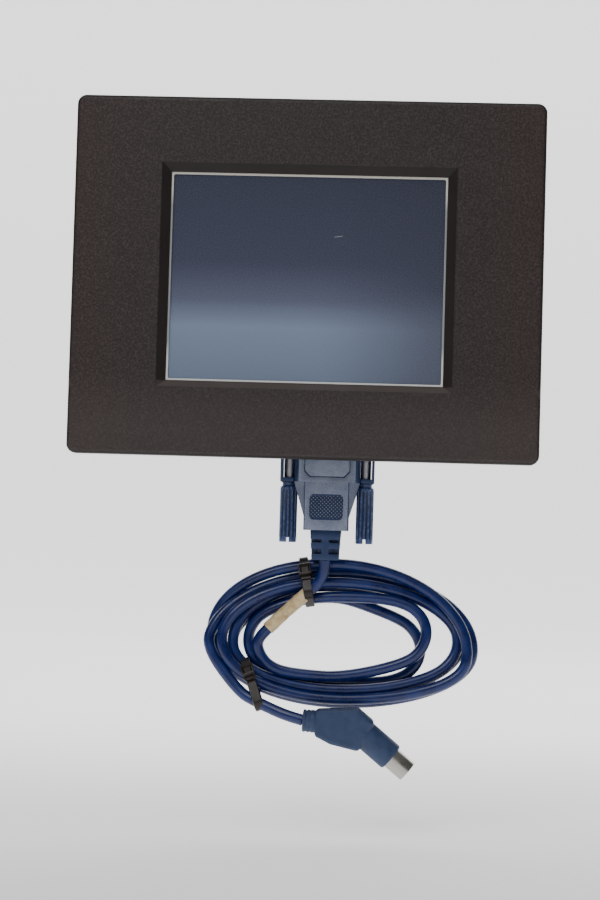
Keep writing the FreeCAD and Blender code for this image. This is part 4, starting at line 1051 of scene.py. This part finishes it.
def marker_label():
    """Sleeve shrunk on the cable, a little wavy, with a lip at each end."""
    nearest = min(range(len(ROUTE_LINE)), key=lambda i: (ROUTE_LINE[i] - LABEL_FROM).length)
    first = line_length(ROUTE_LINE[: nearest + 1]) + LABEL_GAP
    rows = []
    for step in range(-1, LABEL_ROWS + 2):
        is_lip = step in (-1, LABEL_ROWS + 1)
        share = min(max(step / LABEL_ROWS, 0), 1)
        centre, along = line_at(ROUTE_LINE, first + share * LABEL_LENGTH)
        side = along.cross(Vector((0, 1, 0))).normalized()
        front = side.cross(along)
        row = []
        for turn in range(LABEL_AROUND):
            angle = turn / LABEL_AROUND * math.tau
            oval = LABEL_OVAL * math.sin(2 * angle + 9 * share)
            crease = LABEL_CREASE * math.sin(31 * share + angle)
            radius = LABEL_LIP_R if is_lip else LABEL_R + oval + crease
            row.append(centre + radius * (math.cos(angle) * side + math.sin(angle) * front))
        rows.append(row)
    piece = link("cable_label_fine", closed_grid("cable_label_fine", rows))
    paint(piece, "marker_sleeve")
    smooth_faces(piece, sharp=50)
    stands_for(piece, "cable_label")
    return piece


# Cable ties, in mm; a tie holds the strands within its reach, and its head's sizes are across the
# strap, along it and out from it
TIE_WIDTH = 4.2
TIE_THICKNESS = 1.1
TIE_CHAMFER = 0.3
TIE_GAP = 0.05
TIE_REACH = 12.0
TIE_HEAD = (5.6, 5.4, 4.0)
TIE_HEAD_EDGE = 0.7
TIE_HEAD_RIM = 0.9
TIE_HEAD_MIDDLE = 1.6
TIE_POCKET = 1.2
TIE_END = (TIE_WIDTH, 1.6, 1.0)
TIE_END_AT = (0, 3.3, -0.6)
# In the coil's plane: the place, the slant in degrees, and how far above the place the head sits
TIES = [
    {"right": -14.6, "up": 25.0, "slant": -10, "head_up": 4.5},
    {"right": -37.0, "up": -19.6, "slant": -20, "head_up": 4.4},
]


def strands_crossed(slant, middle):
    """Where the cable crosses a tie's plane, as depth and rise from the tie's place."""
    crossings = []
    line = [slant.transposed() @ (to_coil(point) - middle) for point in ROUTE_LINE]
    for here, there in zip(line, line[1:]):
        if here.x * there.x > 0 or here.x == there.x:
            continue
        at = here.lerp(there, here.x / (here.x - there.x))
        if abs(at.y) < TIE_REACH * MM and abs(at.z) < TIE_REACH * MM:
            crossings.append(Vector((at.y, at.z)))
    return crossings


def strap_loop(crossings, gap):
    """The tight loop round the strands: the furthest point each way, gap outside their skins."""
    loop = []
    for step in range(POINTS_AROUND):
        angle = step / POINTS_AROUND * math.tau
        way = Vector((math.cos(angle), math.sin(angle)))
        furthest = max(crossings, key=lambda at: at.dot(way))
        loop.append(furthest + way * (CABLE_R + gap))
    return loop


def front_of(loop, level):
    """The loop's frontmost point at a level, and the way straight out from it."""
    crossings = []
    for here, there in zip(loop, loop[1:] + loop[:1]):
        if min(here.y, there.y) <= level < max(here.y, there.y):
            along = (there - here).normalized()
            share = (level - here.y) / (there.y - here.y)
            crossings.append((here.lerp(there, share), Vector((along.y, -along.x))))
    return min(crossings, key=lambda crossing: crossing[0].x)


def tie_head(work):
    """A tie's head with its pocket, and the strap's trimmed end, lying on the origin, as vertices."""
    head = add_block(work, TIE_HEAD)
    edges = {edge for vertex in head for edge in vertex.link_edges}
    bevelled = bmesh.ops.bevel(
        work, geom=list(head) + list(edges), offset=TIE_HEAD_EDGE * MM, segments=3,
        affect="EDGES", profile=0.6,
    )
    made = {vertex for face in bevelled["faces"] for vertex in face.verts}
    made |= {vertex for vertex in head if vertex.is_valid}
    faces = {face for vertex in made for face in vertex.link_faces}
    top = max(faces, key=lambda face: face.calc_center_median().z)
    rim = bmesh.ops.inset_individual(work, faces=[top], thickness=TIE_HEAD_RIM * MM)["faces"]
    for vertex in top.verts:
        vertex.co.z -= TIE_POCKET * MM
    made |= {vertex for face in rim for vertex in face.verts} | set(top.verts)
    return made | set(add_block(work, TIE_END, TIE_END_AT))


def cable_tie(work, tie):
    """A strap pulled round the strands it crosses, with its head at the front."""
    slant = Matrix.Rotation(math.radians(tie["slant"]), 3, "Y")
    middle = Vector((tie["right"], 0, tie["up"])) * MM

    def placed(across, depth, up):
        return from_coil(slant @ Vector((across, depth, up)) + middle)

    strands = strands_crossed(slant, middle)
    inner = strap_loop(strands, TIE_GAP * MM)
    outer = strap_loop(strands, (TIE_GAP + TIE_THICKNESS) * MM)
    half = TIE_WIDTH / 2 * MM
    flat = half - TIE_CHAMFER * MM
    section = [(inner, -half), (inner, half), (outer, flat), (outer, -flat)]
    rings = [[work.verts.new(placed(x, point.x, point.y)) for point in loop] for loop, x in section]
    for ring, following in zip(rings, rings[1:] + rings[:1]):
        for step in range(len(ring)):
            after = (step + 1) % len(ring)
            work.faces.new((ring[step], ring[after], following[after], following[step]))
    skin, way = front_of(outer, tie["head_up"] * MM)
    seat = skin + way * (TIE_HEAD_MIDDLE - TIE_THICKNESS / 2) * MM
    tangent = Vector((-way.y, way.x))
    for vertex in tie_head(work):
        across, along, out = vertex.co
        at = seat + tangent * along + way * out
        vertex.co = placed(across, at.x, at.y)


def cable_ties():
    """Nylon ties pulled tight round the strands, each with its head and trimmed end."""
    work = bmesh.new()
    for tie in TIES:
        cable_tie(work, tie)
    bmesh.ops.recalc_face_normals(work, faces=work.faces)
    mesh = bpy.data.meshes.new("cable_ties_fine")
    work.to_mesh(mesh)
    work.free()
    piece = link("cable_ties_fine", mesh)
    paint(piece, "tie_nylon")
    smooth_faces(piece, sharp=30)
    stands_for(piece, "cable_ties")
    return piece


hood = softened("plug_hood")
paint_face_sheen(hood)
relief = softened("strain_relief")
softened("power_plug")
for node in ("thumbscrew_left", "thumbscrew_right"):
    thumbscrew(node)
grip_pads()
boot = moulded_boot()
label = marker_label()
ties = cable_ties()


# ---------------------------------------------------------------- floor, backdrop and light

FLOOR_Z = cad_box[0][2] - 25 * MM
FLOOR_FRONT = -9.0
FLOOR_BACK = 1.4
FRONT_HALF_WIDTH = 9.0
BACK_HALF_WIDTH = 3.0
BACKDROP_BEND = 0.9
BACKDROP_HEIGHT = 3.0
BEND_STEPS = 12
LIGHTS_AIM = Vector((0.01, 0, -0.06))


def add_stage():
    """A pale floor that curves up into a backdrop."""
    rows = [(FRONT_HALF_WIDTH, FLOOR_FRONT, FLOOR_Z), (BACK_HALF_WIDTH, FLOOR_BACK, FLOOR_Z)]
    for step in range(1, BEND_STEPS + 1):
        turn = step / BEND_STEPS * math.pi / 2
        y = FLOOR_BACK + BACKDROP_BEND * math.sin(turn)
        z = FLOOR_Z + BACKDROP_BEND * (1 - math.cos(turn))
        rows.append((BACK_HALF_WIDTH, y, z))
    rows.append((BACK_HALF_WIDTH, FLOOR_BACK + BACKDROP_BEND, FLOOR_Z + BACKDROP_HEIGHT))
    mesh = bpy.data.meshes.new("backdrop")
    points = [(side * half_width, y, z) for half_width, y, z in rows for side in (-1, 1)]
    faces = [(2 * i, 2 * i + 1, 2 * i + 3, 2 * i + 2) for i in range(len(rows) - 1)]
    mesh.from_pydata(points, [], faces)
    for polygon in mesh.polygons:
        polygon.use_smooth = True
    backdrop = link("backdrop", mesh)
    shader = Shader("backdrop_paper")
    paper = shader.noise(60 * MM, detail=3)
    tone = shader.mixed(paper, (0.86, 0.86, 0.86), (0.9, 0.9, 0.9))
    towards_back = shader.between(shader.axis("Y"), -0.2, 0.6)
    glow = shader.ramp(towards_back, [(0.0, (0.3, 0.3, 0.3)), (1.0, (1, 1, 1))])
    shader.feed(shader.surface.inputs["Emission Color"], glow)
    shader.surface.inputs["Emission Strength"].default_value = 1.3
    mesh.materials.append(shader.finish(tone, 0.9))


def add_light(name, place, size, power):
    """A square soft light at a place, in metres and watts, aimed at the middle of the object."""
    data = bpy.data.lights.new(name, "AREA")
    data.size = size
    data.energy = power
    lamp = bpy.data.objects.new(name, data)
    aim = (LIGHTS_AIM - Vector(place)).to_track_quat("-Z", "Y")
    lamp.matrix_world = Matrix.Translation(place) @ aim.to_matrix().to_4x4()
    bpy.context.scene.collection.objects.link(lamp)


def add_world():
    world = bpy.data.worlds.new("studio")
    world.use_nodes = True
    background = world.node_tree.nodes["Background"]
    background.inputs["Color"].default_value = (1, 1, 1, 1)
    background.inputs["Strength"].default_value = 0.1
    bpy.context.scene.world = world


add_stage()
add_world()
add_light("key", (-0.45, -0.95, 0.85), 0.6, 6)
add_light("fill", (0.5, -1.1, -0.5), 0.8, 2)
add_light("top", (0.1, -0.4, 1.1), 0.8, 4)
add_light("behind", (0.3, 0.9, 0.7), 0.9, 4)
